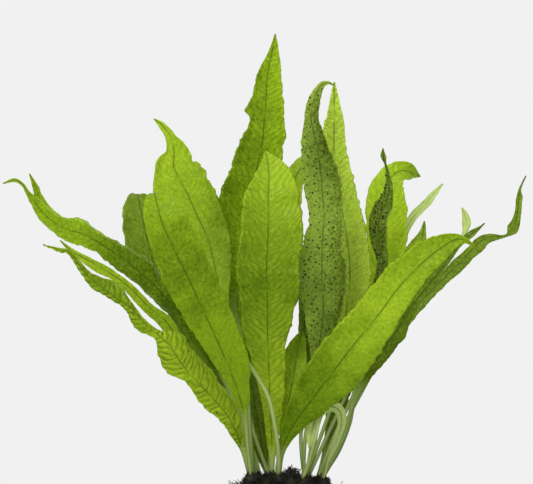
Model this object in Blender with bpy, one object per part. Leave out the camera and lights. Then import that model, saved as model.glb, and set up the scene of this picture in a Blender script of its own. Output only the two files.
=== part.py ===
"""Java fern on driftwood.

A tuft of strap-leaved fronds on four creeping rhizomes, held by a mat of dark roots to a small
piece of driftwood. Metres, +Z up. The origin is on the flat underside of the driftwood, below
the middle of the crown.

The fronds are drafted on one front elevation, as an eye sees it from VIEW_DISTANCE in front.
A point on it is (across, up, depth) in millimetres: up is counted from the crown line, and
depth is how far behind the drawing plane the point lies. on_sight_line() puts it in space.
"""

import math
from dataclasses import dataclass

import bmesh
import bpy
import numpy as np
from mathutils import Quaternion, Vector, noise

MM = 0.001
VIEW_DISTANCE = 2000.0
CROWN_UP = 46.0  # height of the crown line above the surface that the wood stands on
EYE_UP = 133.0  # height of the eye above the crown line

STIPE_RADIUS = 1.0
MIDRIB_HALF = 0.65  # half the blade's thickness at its midrib
LAMINA_HALF = 0.38  # half its thickness midway between midrib and edge
BLADE_WIDTH = 3.0  # a frond this wide to each side is all blade, and flat
BLADE_FOLD = math.radians(10)  # each half of a blade rises this much from the midrib
LONG_STEP = 30.0  # the longest step between two rings
SHARP_TURN = math.radians(40)  # the sharpest turn between two rings
FINE_STEPS = 12  # steps of the smooth curve between two stations
GAP = 0.3  # clearance between pieces that touch

RHIZOME_RADIUS = 2.9
LEFT_CREST = 5.0  # the tops of the left and right rhizomes above the crown line
RIGHT_CREST = 3.0
FOOT_LEFT = LEFT_CREST + GAP
FOOT_RIGHT = RIGHT_CREST + GAP


@dataclass
class Frond:
    """One frond, from its foot on a rhizome to its tip.

    Its stations are (across, up, depth, left, right): a point on the midrib, and how far the
    blade reaches to each side of it. A width of 1 is a bare stipe.
    """

    name: str
    stations: tuple
    turn: tuple = (0,)  # degrees that the blade is turned about its midrib, foot to tip
    finish: str = "blade_mid"


FRONDS = (
    Frond(
        "frond_tall",
        ((1, FOOT_LEFT, 2, 1, 1), (-8, 32, 7, 1, 1), (-13, 60, 11, 1.2, 1.2), (-16, 84, 14, 5, 5),
         (-16, 112, 16.5, 11, 10), (-14, 135, 16.5, 15, 12.5), (-10.5, 155, 14, 16, 12.5),
         (-5.5, 173, 11.5, 14, 12), (-2.5, 186.5, 9.5, 12.8, 12), (-1.4, 199, 8.5, 8, 11.5),
         (-0.8, 205.5, 8, 10.6, 10.5), (-0.2, 214, 7.5, 7.6, 9.3), (0.6, 225, 7, 5.6, 7.8),
         (3, 237, 7, 2.1, 4.2), (4.9, 247.5, 7, 0.3, 0.3)),
        (0, 0, -4, 4), "blade_mid",
    ),
    Frond(
        "frond_centre",
        ((3, FOOT_LEFT, -4, 1, 1), (3, 14, -5.5, 1.6, 1.8), (2.9, 25, -7, 3, 3.6),
         (2, 41, -10.5, 4, 6.8), (1.3, 60, -14, 7.5, 8.8), (0.6, 80, -17.5, 12.6, 10.2),
         (0.4, 92, -20, 14.5, 13.8), (0.3, 105, -20.5, 15.8, 17.4), (0, 120, -20.5, 17, 17.8),
         (0.8, 139, -19.5, 15.5, 19), (0.8, 156, -16.5, 14, 17), (1.3, 167, -13.5, 9, 14),
         (0.8, 175.5, -10.5, 4.6, 8), (-0.5, 183, -7.5, 0.3, 0.3)),
        (0, -6, -4), "blade_bright",
    ),
    Frond(
        "frond_front_left",
        ((-9, FOOT_LEFT, -13, 1, 1), (-10.5, 20, -20, 1, 1), (-12, 35, -27.5, 1.5, 2),
         (-14.5, 46, -34, 2.5, 5.2), (-20.6, 63.8, -43, 6, 11.6), (-32.5, 90.2, -55, 11, 14),
         (-44.8, 116.6, -64, 13.5, 14), (-54.7, 137, -68, 11, 14.5), (-58.5, 147, -67.5, 9.5, 12.5),
         (-60.3, 154, -64, 7.2, 9), (-61.3, 157.8, -58, 4.2, 5), (-61.5, 158.5, -52, 2, 2),
         (-60.5, 156, -47, 0.4, 0.4)),
        (-5, -8, -10), "blade_mid",
    ),
    Frond(
        "frond_left_pale",
        ((6.2, FOOT_LEFT, -14.5, 1, 1), (6.6, 14, -20, 1.2, 1.2), (5.2, 28, -26, 1.2, 1.2),
         (1.5, 46, -31, 1.2, 1.2), (-4, 57, -32, 1.2, 1.2), (-10.5, 67, -30, 1.2, 1.2),
         (-19, 81, -26, 1.4, 1.4), (-25, 101, -17, 4.5, 4.5), (-31, 130, -3.5, 11, 12),
         (-42, 156.2, 2, 14.4, 14.3), (-47.6, 167.2, 4, 15.8, 14), (-51, 175, 5, 11, 11.8),
         (-50.9, 183, 5.5, 4.8, 8.5), (-52.7, 190.5, 6, 3.2, 3), (-57.3, 197, 6, 2.2, 1.9),
         (-62, 200.8, 6, 0.3, 0.3)),
        (0, -5, -8), "blade_bright",
    ),
    Frond(
        "frond_left_round",
        ((-6, FOOT_LEFT, 8, 1, 1), (-12, 32, 17, 1, 1), (-24, 60, 27, 1.4, 1.4), (-41, 87, 35, 6, 6),
         (-57, 109, 40, 10.4, 10), (-64.5, 129, 43, 12.6, 11.5), (-67.5, 143, 46, 12.4, 11.5),
         (-69.5, 151.5, 49.5, 9.9, 9.5), (-70.5, 156.5, 54, 6.3, 6.3), (-70.8, 158.6, 59, 3, 3),
         (-70.5, 156.5, 64, 0.4, 0.4)),
        (-10, -15), "blade_dark",
    ),
    Frond(
        "frond_far_left",
        ((-7, FOOT_LEFT, 0, 1, 1), (-13, 30, 3, 1, 1), (-21, 53, 5, 1.5, 1.5), (-33, 74, 8, 4.8, 4.8),
         (-45, 90, 10, 7.3, 7.3), (-60, 107, 11, 9.8, 9.4), (-75, 120.5, 11, 10.6, 9.2),
         (-89, 130.3, 10, 8.4, 6.8), (-95, 134, 9, 8.8, 7.6), (-102, 137.5, 8, 10.6, 9.4),
         (-109, 139.5, 7, 10, 8.6), (-115.5, 142.8, 6, 8.2, 6.8), (-122, 148, 5, 6.2, 5.4),
         (-127, 154.5, 4, 4.5, 4), (-131, 160, 3.5, 2, 1.6), (-134.5, 165, 3, 1.4, 1),
         (-139, 167, 2.5, 1.6, 1.2), (-145, 165, 2, 0.3, 0.3)),
        (-15, -30, -30, -20), "blade_mid",
    ),
    Frond(
        "frond_far_left_behind",
        ((-6, FOOT_LEFT, 4, 1, 1), (-12, 30, 12, 1, 1), (-21, 53, 20, 1, 1), (-34, 75, 26, 2, 2),
         (-48, 92, 30, 4, 4), (-62, 106, 33, 4, 4), (-79, 120, 34, 4, 4), (-95, 132, 33, 3, 3),
         (-108, 140, 31, 4, 4), (-118, 147, 29, 3.5, 3.5), (-124.6, 156.5, 27, 2.5, 2.5),
         (-127.5, 163.5, 25, 2, 2), (-130.6, 170.5, 24, 0.3, 0.3)),
        (-15, -30, -30, -20), "blade_bright",
    ),
    Frond(
        "frond_left_middle",
        ((-8, FOOT_LEFT, -5, 1, 1), (-12, 22, -8, 1, 1), (-19.5, 38, -12, 1, 1),
         (-28, 52, -15, 1.2, 1.2), (-38, 65, -17, 2.8, 2), (-47, 76, -18, 5.6, 3),
         (-55.8, 89.5, -18, 8, 3), (-64.1, 96.8, -18, 7.4, 2.2), (-77.8, 109.5, -19, 5.8, 2.2),
         (-84.8, 115, -19.5, 4.6, 2.2), (-91.6, 119.4, -19.5, 6.6, 2.2), (-98.5, 123.2, -19, 5, 1.8),
         (-103.5, 125.8, -18.5, 2.4, 1.5), (-108, 128.3, -18, 1.5, 1.5),
         (-113.6, 133.7, -17, 0.3, 0.3)),
        (-20, -35, -35), "blade_mid",
    ),
    Frond(
        "frond_left_low",
        ((-9.5, FOOT_LEFT, -9, 1, 1), (-12.9, 18.7, -14, 1.8, 2), (-16.8, 28, -20, 4.3, 5),
         (-22.8, 39, -25, 6, 9), (-33.8, 51.7, -32, 8.2, 10.5), (-42.1, 60, -37, 5.8, 12),
         (-49.8, 69.9, -40.5, 12.4, 10), (-54.2, 76.5, -41.5, 11.8, 11), (-60.2, 82, -42, 3.6, 3.5),
         (-67.9, 89.1, -43, 9, 2), (-74.5, 96.8, -43, 4.6, 3), (-81.7, 101.2, -43, 3.2, 8),
         (-88.8, 106.2, -42, 4.2, 9.6), (-94.3, 110.6, -41.5, 5.2, 5), (-99.8, 115.5, -41, 2.8, 3),
         (-108.1, 126.5, -39, 1.7, 1.7), (-113.6, 128.2, -38.5, 1.7, 1.7),
         (-122.9, 131.5, -37, 0.3, 0.3)),
        (-15, -20, -30, -25), "blade_bright",
    ),
    Frond(
        "frond_young_centre",
        ((-7.4, FOOT_LEFT, -2.5, 1, 1), (-9, 32, -6, 1, 1), (-11, 60, -5, 1, 1),
         (-15, 82, -2, 2.2, 2.2), (-18, 97, 0, 1.8, 1.8), (-16, 108, 1, 0.3, 0.3)),
        (20,), "blade_bright",
    ),
    Frond(
        "frond_bowed_back",
        ((1.5, FOOT_LEFT, 7, 1, 1), (4, 46, 18, 1, 1), (6, 80, 26, 2, 2), (8.3, 101, 30, 5, 5),
         (11.3, 129, 33, 6, 6), (12.9, 151, 34, 6, 6), (14.6, 164, 35, 5.5, 5.5),
         (18.5, 173, 35, 5.2, 5.2), (25, 177, 35, 5, 5), (31.6, 173, 35, 5, 5), (36, 165, 35, 5, 5),
         (38, 150, 36.5, 5, 5), (39.3, 120, 39, 0.4, 0.4)),
        (0,), "blade_bright",
    ),
    Frond(
        "frond_low_blade",
        ((5, FOOT_LEFT, -7.5, 1, 1), (8.5, 22, -5.5, 1.5, 2.3), (11, 38, -7.5, 4.3, 4.5),
         (13.5, 52, -8, 6, 6), (15.7, 64, -6, 7.2, 6.5), (17, 73, -4, 6.2, 5),
         (18.6, 79.5, -2, 3.6, 3), (19.5, 84.5, -1, 0.4, 0.4)),
        (5, 10), "blade_bright",
    ),
    Frond(
        "frond_right_front",
        ((7, FOOT_LEFT, -11, 1, 1), (8.5, 18, -18, 2, 2), (14, 31, -26, 5.5, 5),
         (25.5, 47, -34, 11.5, 10.5), (37, 62, -42, 14, 15), (47, 75, -49, 13.5, 15),
         (60, 91, -56, 12.5, 12.5), (72, 107, -61, 11.8, 10.5), (84, 120, -64, 10.3, 8.5),
         (95.5, 129.5, -65, 8, 6.5), (103, 134, -65, 3.8, 4.5), (108, 134.3, -64.5, 2, 2.5),
         (112.5, 131.8, -64, 0.9, 0.9), (116.3, 127.6, -63.5, 0.3, 0.3)),
        (5, 12, 15, 10), "blade_bright",
    ),
    Frond(
        "frond_spotted_wide",
        ((20.2, FOOT_RIGHT, -6, 1, 1), (21.2, 24, -8, 1, 1), (24.5, 46, -10, 1.2, 1.2),
         (27.8, 68, -12, 3.5, 3.5), (31, 92, -13.5, 10, 10), (30.8, 108, -14, 12.4, 14.5),
         (30.5, 122, -14, 12.5, 14.5), (30.6, 129, -14, 11.5, 11.5), (31.4, 146, -13.5, 8, 11),
         (30.5, 164.5, -12, 10.3, 10.2), (29.4, 174, -11, 10.3, 8.2), (27, 189, -10, 8.5, 5),
         (24.5, 200, -9, 4, 4), (25.4, 209.5, -9, 3.2, 3.8), (29.4, 218.4, -9, 1.9, 2.2),
         (33.5, 220.6, -8.5, 1.1, 1.1), (37.1, 219.3, -8, 0.3, 0.3)),
        (5, 8, -5, 0), "blade_spotted",
    ),
    Frond(
        "frond_spotted_lobe",
        ((20.9, FOOT_RIGHT, -1.5, 1, 1), (19.4, 16, -0.8, 1, 1), (18.9, 30, 0, 1, 1.2),
         (19.8, 62, 3, 1.4, 3.8), (20.6, 85, 5, 3, 6.5), (21.4, 101, 6, 3.9, 6),
         (22, 115, 6, 3.2, 4.5), (23, 129, 6, 0.4, 0.4)),
        (-10,), "blade_spotted",
    ),
    Frond(
        "frond_light_right",
        ((21.9, FOOT_RIGHT, 6, 1, 1), (26, 27, 11, 1, 1), (33, 49, 15, 1.2, 1.2), (40, 74, 18, 5, 5),
         (44, 96, 20, 10, 10), (46, 118, 20, 12, 11.3), (43.5, 140, 18, 12, 10.9),
         (39, 162, 15, 11.4, 10.2), (37.2, 182, 13, 9, 7.3), (37.2, 201, 11, 4.7, 5.2),
         (37.2, 210, 10.5, 2.6, 3), (37.3, 221, 10, 0.5, 0.5)),
        (0, 5, 0), "blade_bright",
    ),
    Frond(
        "frond_spotted_narrow",
        ((21.5, FOOT_RIGHT, 2.3, 1, 1), (32, 32, 9, 1, 1), (43, 62, 18, 1, 1), (53, 87, 28, 1.2, 1.2),
         (60, 104, 34, 3, 3), (64, 121, 38, 3.3, 3.3), (61.9, 134, 39, 4.4, 4.4),
         (62, 144, 39, 5.5, 5), (65.5, 153.5, 39, 5.2, 4.5), (67.5, 161.7, 38, 2.8, 2.7),
         (66.8, 170, 37.5, 1.2, 1.2), (65.3, 176, 37, 0.7, 0.7), (64.3, 180, 36.5, 1.7, 1.7),
         (64, 184.5, 36, 0.3, 0.3)),
        (5, 15, 20), "blade_spotted",
    ),
    Frond(
        "frond_right_round",
        ((22.6, FOOT_RIGHT, 9.6, 1, 1), (35, 30, 24, 1, 1), (46, 54, 38, 1.2, 1.2), (56, 79, 49, 6, 6),
         (62, 101, 56, 10, 10), (65.5, 123, 60, 11, 11.5), (66, 143, 62.5, 11.3, 12),
         (66, 157, 64, 10.6, 11), (68, 167.3, 66, 8, 8), (73, 172, 68, 6, 6.3),
         (79, 171.8, 70, 5.8, 6), (84.8, 169.3, 71.5, 0.4, 0.4)),
        (5, 12, 15), "blade_bright",
    ),
    Frond(
        "frond_right_finger",
        ((28.8, FOOT_RIGHT, 9.5, 1, 1), (39, 30, 28, 1, 1), (53, 60, 48, 1, 1), (63, 88, 64, 1.5, 1.5),
         (69, 112, 74, 2.3, 1.8), (74.2, 132.3, 79, 2.5, 1.9), (79.6, 144.6, 81, 2.8, 2.3),
         (87.8, 154, 82.5, 2.5, 2.5), (92.5, 159.8, 83.5, 1.9, 1.9), (97, 165, 84, 0.4, 0.4)),
        (20, 25), "blade_bright",
    ),
    Frond(
        "frond_right_dark",
        ((29.5, FOOT_RIGHT, 5.5, 1, 1), (41, 29, 14, 1, 1), (54, 54, 22, 1.2, 1.2), (66, 82, 29, 5, 5),
         (75, 107, 33, 6, 6), (81, 125, 35, 5, 5), (85, 133, 36, 4, 3.5), (86.5, 139, 36, 1.9, 1.9),
         (87, 144.5, 36, 0.4, 0.4)),
        (20, 30), "blade_dark",
    ),
    Frond(
        "frond_right_twisted",
        ((30.8, FOOT_RIGHT, -5.2, 1, 1), (37, 14, -8, 1, 1), (43.2, 27, -12, 1, 1),
         (46.8, 40.7, -17, 1, 1), (52, 53.9, -22, 2, 2.4), (65.5, 75.6, -31, 5, 6.6),
         (72, 85, -33.5, 5, 7.4), (77.5, 93.5, -36, 5, 5), (84.4, 103, -38, 4, 3.4),
         (91, 111.5, -39, 4, 4), (96, 117.7, -40, 3, 1.8), (101, 125.4, -40, 2.5, 3),
         (106.5, 131.5, -40, 2, 1.6), (113, 137, -40, 2, 2), (117.5, 140.8, -40, 0.8, 0.8),
         (120.2, 143.2, -40, 0.3, 0.3)),
        (15, 25, 30), "blade_dark",
    ),
    Frond(
        "frond_right_small",
        ((30, FOOT_RIGHT, 1.8, 1, 1), (42.5, 28, 4, 1, 1), (53, 56, 7, 1, 1), (76, 90, 14, 1, 1),
         (99, 121, 20, 1, 1), (108, 136, 22, 1.1, 1.1), (110, 143, 22, 2.4, 2.4),
         (109.3, 148, 22, 1.8, 1.8), (107.5, 152, 22, 0.3, 0.3)),
        (15, 20), "blade_bright",
    ),
    Frond(
        "frond_far_right",
        ((30.5, FOOT_RIGHT, -1.7, 1, 1), (34.5, 9.5, -2, 1, 1), (40, 19, -2.5, 1.2, 1.2),
         (45.3, 33, -2.5, 1.4, 1.4), (49, 50, -1, 1.8, 1.8), (57.5, 66.5, 1, 2.8, 3.4),
         (74.5, 88.5, 6, 3, 3.6), (91, 106.2, 10, 3, 3.3), (98.2, 113.3, 13, 2.7, 3.4),
         (105.3, 121, 13, 3.2, 4.2), (111.9, 127.6, 13, 2.4, 4.2), (117.4, 132.6, 13, 2.6, 4.4),
         (122.9, 135.3, 13, 1.6, 3.2), (131.7, 136.4, 13, 0.6, 0.9), (135.3, 140.3, 13, 3, 3.4),
         (137.8, 147, 13, 1.6, 2), (139, 157, 13, 1.4, 1.9), (139.5, 162, 13, 0.6, 0.7),
         (142.9, 169.3, 13, 0.3, 0.3)),
        (15, 25, 30, 20), "blade_dark",
    ),
    Frond(
        "frond_arched_low",
        ((31.1, FOOT_RIGHT, -8.6, 1, 1), (34, 14, -13, 1.4, 1.4), (38.5, 25, -17, 2.6, 2.6),
         (41, 33, -20, 3, 3), (40, 40, -23, 3, 3), (35.5, 42.5, -25, 3, 3), (30, 40.5, -26, 3, 3),
         (26.5, 34, -26, 3.2, 3.2), (24.5, 26, -25, 2.6, 2.6), (24, 18, -23, 0.4, 0.4)),
        (0,), "blade_bright",
    ),
    Frond(
        "frond_young_right",
        ((19.9, FOOT_RIGHT, -12, 1, 1), (22.5, 10, -17.5, 1, 1), (26, 22, -29, 0.9, 0.9),
         (28.5, 32, -31.5, 0.8, 0.8), (30.5, 40, -32, 0.3, 0.3)),
        (0,), "blade_bright",
    ),
    Frond(
        "frond_back_left",
        ((-4, FOOT_LEFT, 17, 1, 1), (-9, 32, 32, 1, 1), (-16, 60, 50, 1.5, 1.5), (-22, 84, 63, 8, 8),
         (-27, 110, 73, 10.5, 10.5), (-29, 130, 78, 6.5, 6.5), (-30, 147, 80, 0.4, 0.4)),
        (-15, -25), "blade_mid",
    ),
    Frond(
        "frond_back_left_low",
        ((-5, FOOT_LEFT, 12.5, 1, 1), (-13, 31, 26, 1.5, 1.5), (-25, 55.5, 42, 4.5, 4.5),
         (-37, 77, 54, 8.5, 8.5), (-46, 95, 62, 8.5, 8.5), (-52, 112, 68, 5.5, 5.5),
         (-57, 126, 71, 0.4, 0.4)),
        (-20, -35), "blade_mid",
    ),
    Frond(
        "frond_back_centre",
        ((2.5, FOOT_LEFT, 12.5, 1, 1), (4, 35, 30, 1, 1), (5, 65, 48, 3, 3), (4.5, 92, 61, 9.5, 9.5),
         (2, 119, 72, 11.5, 11.5), (0, 144, 79, 7, 7), (-2, 162, 81, 0.4, 0.4)),
        (0, 5), "blade_bright",
    ),
    Frond(
        "frond_back_inner",
        ((0.2, FOOT_LEFT, 16, 1, 1), (-1.5, 16, 20, 4, 4), (-4, 30, 25, 6.5, 6.5), (-7, 48, 30, 7, 7),
         (-9.5, 66, 35, 6.5, 6.5), (-9, 86, 39, 4, 4), (-8, 102, 41, 0.4, 0.4)),
        (0,), "blade_dark",
    ),
    Frond(
        "frond_back_right",
        ((23.4, FOOT_RIGHT, 15, 1, 1), (28, 32, 32, 1, 1), (33, 60, 50, 1.5, 1.5), (37, 88, 65, 8, 8),
         (40, 113, 76, 9.5, 9.5), (42, 130, 82, 6, 6), (44, 145, 84, 0.4, 0.4)),
        (10, 15), "blade_mid",
    ),
    Frond(
        "frond_back_right_low",
        ((28.2, FOOT_RIGHT, 13.5, 1, 1), (31.5, 14, 21, 1.5, 1.5), (35, 27, 30, 3, 3),
         (38.5, 42, 41, 5.5, 5.5), (43.5, 60, 54, 6, 6), (50, 77, 65, 4.5, 4.5),
         (56, 92, 74, 0.4, 0.4)),
        (10, 15), "blade_dark",
    ),
)

# Each rhizome creeps from front to back under the feet of its own fronds.
RHIZOMES = {
    "rhizome_left_outer": (LEFT_CREST, ((-9.5, -17), (-8.5, -8), (-6.6, 1), (-5.6, 9), (-4, 20))),
    "rhizome_left_inner": (LEFT_CREST, ((7, -18), (5.4, -9), (2.2, 0), (1.6, 8), (3, 17))),
    "rhizome_right_inner": (RIGHT_CREST, ((19.5, -16), (20.4, -7), (21.4, 2), (22.4, 9), (23.4, 18))),
    "rhizome_right_outer": (RIGHT_CREST, ((31.6, -10), (30.5, -2), (29.4, 6), (28.4, 15))),
}

# The wood's limbs: ((x, y, z) of the heart, radius) from one end to the other.
WOOD_TRUNK = (((-80, -23, 8.5), 6.5), ((-63, -14, 12), 12), ((-44, -7, 15), 16.5), ((-22, -3, 17), 20),
              ((4, 1, 18), 21), ((28, 2, 18.5), 20.5), ((50, 7, 15.5), 17), ((70, 15, 11.5), 12.5),
              ((88, 26, 8), 7))
WOOD_FORKS = {
    "driftwood_fork_front": (((-38, -8, 12), 14), ((-52, -26, 9.5), 11.5), ((-70, -41, 7.5), 9.5),
                             ((-86, -50, 5), 6.5)),
    "driftwood_fork_back": (((30, 8, 12), 14), ((44, 28, 9.5), 11.5), ((56, 48, 7.5), 9.5),
                            ((74, 64, 5), 6.5)),
    "driftwood_fork_rear": (((-34, 4, 12), 13), ((-44, 24, 9.5), 11.5), ((-60, 40, 7), 9),
                            ((-70, 56, 4.5), 5.5)),
}
WOOD_SIDES = 16
WOOD_STEPS = 2  # rings of wood to each span between two stations
MAT_CENTRE = (8.5, 1.0, -9.8)
MAT_RADII = (34.0, 25.0, 12.5)
MAT_RIDGE = (13.5, 3.2, 5.5)  # the ridge of roots between the two clusters: across, width, height

FINISHES = {
    "blade_bright": ((0.32, 0.46, 0.04), 0.42),
    "blade_mid": ((0.17, 0.29, 0.02), 0.45),
    "blade_dark": ((0.12, 0.21, 0.02), 0.45),
    "blade_spotted": ((0.14, 0.22, 0.03), 0.5),
    "rhizome": ((0.06, 0.07, 0.02), 0.7),
    "root_mat": ((0.012, 0.01, 0.007), 0.95),
    "driftwood": ((0.07, 0.045, 0.028), 0.85),
}


def clear_scene():
    for obj in list(bpy.data.objects):
        bpy.data.objects.remove(obj)


def finish(name):
    """The Principled material of that name, made on first use."""
    found = bpy.data.materials.get(name)
    if found:
        return found
    colour, roughness = FINISHES[name]
    made = bpy.data.materials.new(name)
    made.use_nodes = True
    shader = made.node_tree.nodes["Principled BSDF"]
    shader.inputs["Base Color"].default_value = (*colour, 1)
    shader.inputs["Roughness"].default_value = roughness
    shader.inputs["Metallic"].default_value = 0
    return made


def on_sight_line(across, up, depth):
    """A point of the front elevation, moved along the eye's line of sight to its depth."""
    reach = 1 + depth / VIEW_DISTANCE
    height = CROWN_UP + EYE_UP + (up - EYE_UP) * reach
    return Vector((across * reach, depth, height)) * MM


def smooth_curve(points, steps):
    """Points on a Catmull-Rom curve through points, steps to each span, both ends included."""
    ends = np.array([points[0] * 2 - points[1], *points, points[-1] * 2 - points[-2]])
    made = []
    for a, b, c, d in zip(ends, ends[1:], ends[2:], ends[3:]):
        for t in np.arange(steps) / steps:
            bend = (c - a) * t + (a * 2 - b * 5 + c * 4 - d) * t**2 + (b * 3 - a - c * 3 + d) * t**3
            made.append(b + bend / 2)
    return np.array([*made, points[-1]])


def even_value(values, share):
    """A value between those in values, which are spaced evenly from share 0 to 1."""
    return float(np.interp(share, np.linspace(0, 1, len(values)), values))


def tangents_of(points):
    last = len(points) - 1
    return [(points[min(i + 1, last)] - points[max(i - 1, 0)]).normalized() for i in range(last + 1)]


def faces_of(tangents, start, face):
    """The direction that a band along the curve faces, carried with no twist both ways from start."""
    normals = [None] * len(tangents)
    normals[start] = (face - tangents[start] * face.dot(tangents[start])).normalized()
    for step, stop in ((1, len(tangents)), (-1, -1)):
        for i in range(start + step, stop, step):
            swing = tangents[i - step].rotation_difference(tangents[i])
            normals[i] = (swing @ normals[i - step]).normalized()
    return normals


def ring_places(points, tangents, steps):
    """Where rings go: at each station, and between two that are far apart or turn sharply."""
    places = []
    for first in range(0, len(points) - 1, steps):
        after = first + steps
        length = (points[after] - points[first]).length / MM
        turn = tangents[first].angle(tangents[after])
        parts = min(4, max(math.ceil(length / LONG_STEP), math.ceil(turn / SHARP_TURN), 1))
        places += [first + steps * part // parts for part in range(parts)]
    return [*places, len(points) - 1]


def lofted(name, rings, material):
    """A closed solid through rings of points, with flat ends."""
    bm = bmesh.new()
    loops = [[bm.verts.new(p) for p in ring] for ring in rings]
    sides = len(rings[0])
    for lower, upper in zip(loops, loops[1:]):
        for i in range(sides):
            j = (i + 1) % sides
            bm.faces.new((lower[i], lower[j], upper[j], upper[i]))
    bm.faces.new(loops[0][::-1])
    bm.faces.new(loops[-1])
    bmesh.ops.triangulate(bm, faces=bm.faces)
    bmesh.ops.recalc_face_normals(bm, faces=bm.faces)
    mesh = bpy.data.meshes.new(name)
    bm.to_mesh(mesh)
    bm.free()
    mesh.shade_smooth()
    mesh.set_sharp_from_angle(angle=math.radians(50))
    mesh.materials.append(finish(material))
    obj = bpy.data.objects.new(name, mesh)
    bpy.context.scene.collection.objects.link(obj)
    return obj


def frond_ring(centre, side, normal, left, right):
    """Eight points round a frond: a round stipe where it is narrow, a thin folded lens where wide."""
    width = (left + right) / 2
    flat = min(1.0, max(0.0, (width - STIPE_RADIUS) / (BLADE_WIDTH - STIPE_RADIUS)))
    round_height = min(width, STIPE_RADIUS)
    bow = math.sqrt(0.5)
    # across, up or down, and across again where the stipe is round
    stations = ((-1, 0, -1), (-0.5, 1, -bow), (0, 1, 0), (0.5, 1, bow), (1, 0, 1), (0.5, -1, bow),
                (0, -1, 0), (-0.5, -1, -bow))
    ring = []
    for across, lift, round_across in stations:
        half = left if across < 0 else right
        reach = (across * flat + round_across * (1 - flat)) * half
        thick = MIDRIB_HALF if across == 0 else LAMINA_HALF
        round_thick = round_height * (1 if across == 0 else bow)
        fold = abs(reach) * math.sin(BLADE_FOLD) * flat
        height = lift * (thick * flat + round_thick * (1 - flat)) + fold
        ring.append(centre + (side * reach + normal * height) * MM)
    return ring


def make_frond(frond):
    curve = smooth_curve(np.array(frond.stations, float), FINE_STEPS)
    points = [on_sight_line(*place) for place in curve[:, :3]]
    tangents = tangents_of(points)
    widest = int(np.argmax(curve[:, 3] + curve[:, 4]))
    normals = faces_of(tangents, widest, Vector((0, -1, 0)))
    tangents[0] = Vector((0, 0, 1))  # the foot is cut off level
    rings = []
    for i in ring_places(points, tangents, FINE_STEPS):
        turn = math.radians(even_value(frond.turn, i / (len(points) - 1)))
        normal = Quaternion(tangents[i], -turn) @ normals[i]
        side = tangents[i].cross(normal).normalized()
        reach = 1 + curve[i, 2] / VIEW_DISTANCE
        left, right = (float(half) * reach for half in curve[i, 3:])
        rings.append(frond_ring(points[i], side, normal, left, right))
    return lofted(frond.name, rings, frond.finish)


def make_rhizome(name, crest, line):
    """A knobbly creeping stem whose top stays on its crest line."""
    axis = np.array([on_sight_line(x, crest - RHIZOME_RADIUS, y) for x, y in line])
    points = [Vector(p) for p in smooth_curve(axis, 2)]
    tangents = tangents_of(points)
    rings = []
    for i, (point, tangent) in enumerate(zip(points, tangents)):
        side = tangent.cross(Vector((0, 0, 1))).normalized()
        upward = side.cross(tangent)
        end = 0.55 if i in (0, len(points) - 1) else 1
        ring = []
        for k in range(8):
            angle = math.tau * k / 8
            knob = 1 - 0.08 * (i % 2) * math.cos(angle) ** 2
            reach = RHIZOME_RADIUS * MM * knob * end
            ring.append(point + side * math.cos(angle) * reach + upward * math.sin(angle) * reach)
        rings.append(ring)
    return lofted(name, rings, "rhizome")


def make_wood(name, stations, seed):
    """A worn, fluted limb, cut off flat where it stands on the surface."""
    curve = smooth_curve(np.array([(*centre, radius) for centre, radius in stations], float), WOOD_STEPS)
    centres = [Vector(c) * MM for c in curve[:, :3]]
    tangents = tangents_of(centres)
    rings = []
    for i, (centre, tangent) in enumerate(zip(centres, tangents)):
        side = tangent.cross(Vector((0, 0, 1))).normalized()
        upward = side.cross(tangent)
        radius = float(curve[i, 3])
        ring = []
        for k in range(WOOD_SIDES):
            angle = math.tau * k / WOOD_SIDES
            flute = 0.06 * math.cos(3 * angle + seed + 0.3 * i) + 0.04 * math.cos(5 * angle - seed)
            worn = 0.12 * noise.noise(Vector((math.cos(angle), math.sin(angle), 0.5 * i + 7 * seed)))
            reach = radius * (1 + flute + worn) * MM
            ring.append(centre + side * math.cos(angle) * reach + upward * math.sin(angle) * reach)
        rings.append(ring)
    limb = lofted(name, rings, "driftwood")
    bm = bmesh.new()
    bm.from_mesh(limb.data)
    cut = bmesh.ops.bisect_plane(
        bm,
        geom=bm.verts[:] + bm.edges[:] + bm.faces[:],
        plane_co=(0, 0, 0),
        plane_no=(0, 0, -1),
        clear_outer=True,
    )
    rim = [e for e in cut["geom_cut"] if isinstance(e, bmesh.types.BMEdge)]
    bmesh.ops.contextual_create(bm, geom=rim)
    bmesh.ops.triangulate(bm, faces=bm.faces)
    bmesh.ops.recalc_face_normals(bm, faces=bm.faces)
    bm.to_mesh(limb.data)
    bm.free()
    return limb


def make_root_mat():
    """A low lumpy mound of roots that wraps over the wood under the rhizomes."""
    bm = bmesh.new()
    bmesh.ops.create_icosphere(bm, subdivisions=3, radius=1)
    for vert in bm.verts:
        lump = 1 + 0.16 * noise.noise(vert.co * 2.3) + 0.05 * noise.noise(vert.co * 6)
        place = Vector(radius * c * lump for radius, c in zip(MAT_RADII, vert.co))
        x, y, z = place + Vector(MAT_CENTRE)
        across, width, height = MAT_RIDGE
        ridge = height * math.exp(-(((x - across) / width) ** 2)) * max(0.0, vert.co.z)
        vert.co = Vector((x, y, z + ridge + CROWN_UP)) * MM
    mesh = bpy.data.meshes.new("root_mat")
    bm.to_mesh(mesh)
    bm.free()
    mesh.shade_smooth()
    mesh.materials.append(finish("root_mat"))
    mat = bpy.data.objects.new("root_mat", mesh)
    bpy.context.scene.collection.objects.link(mat)
    return mat


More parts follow.
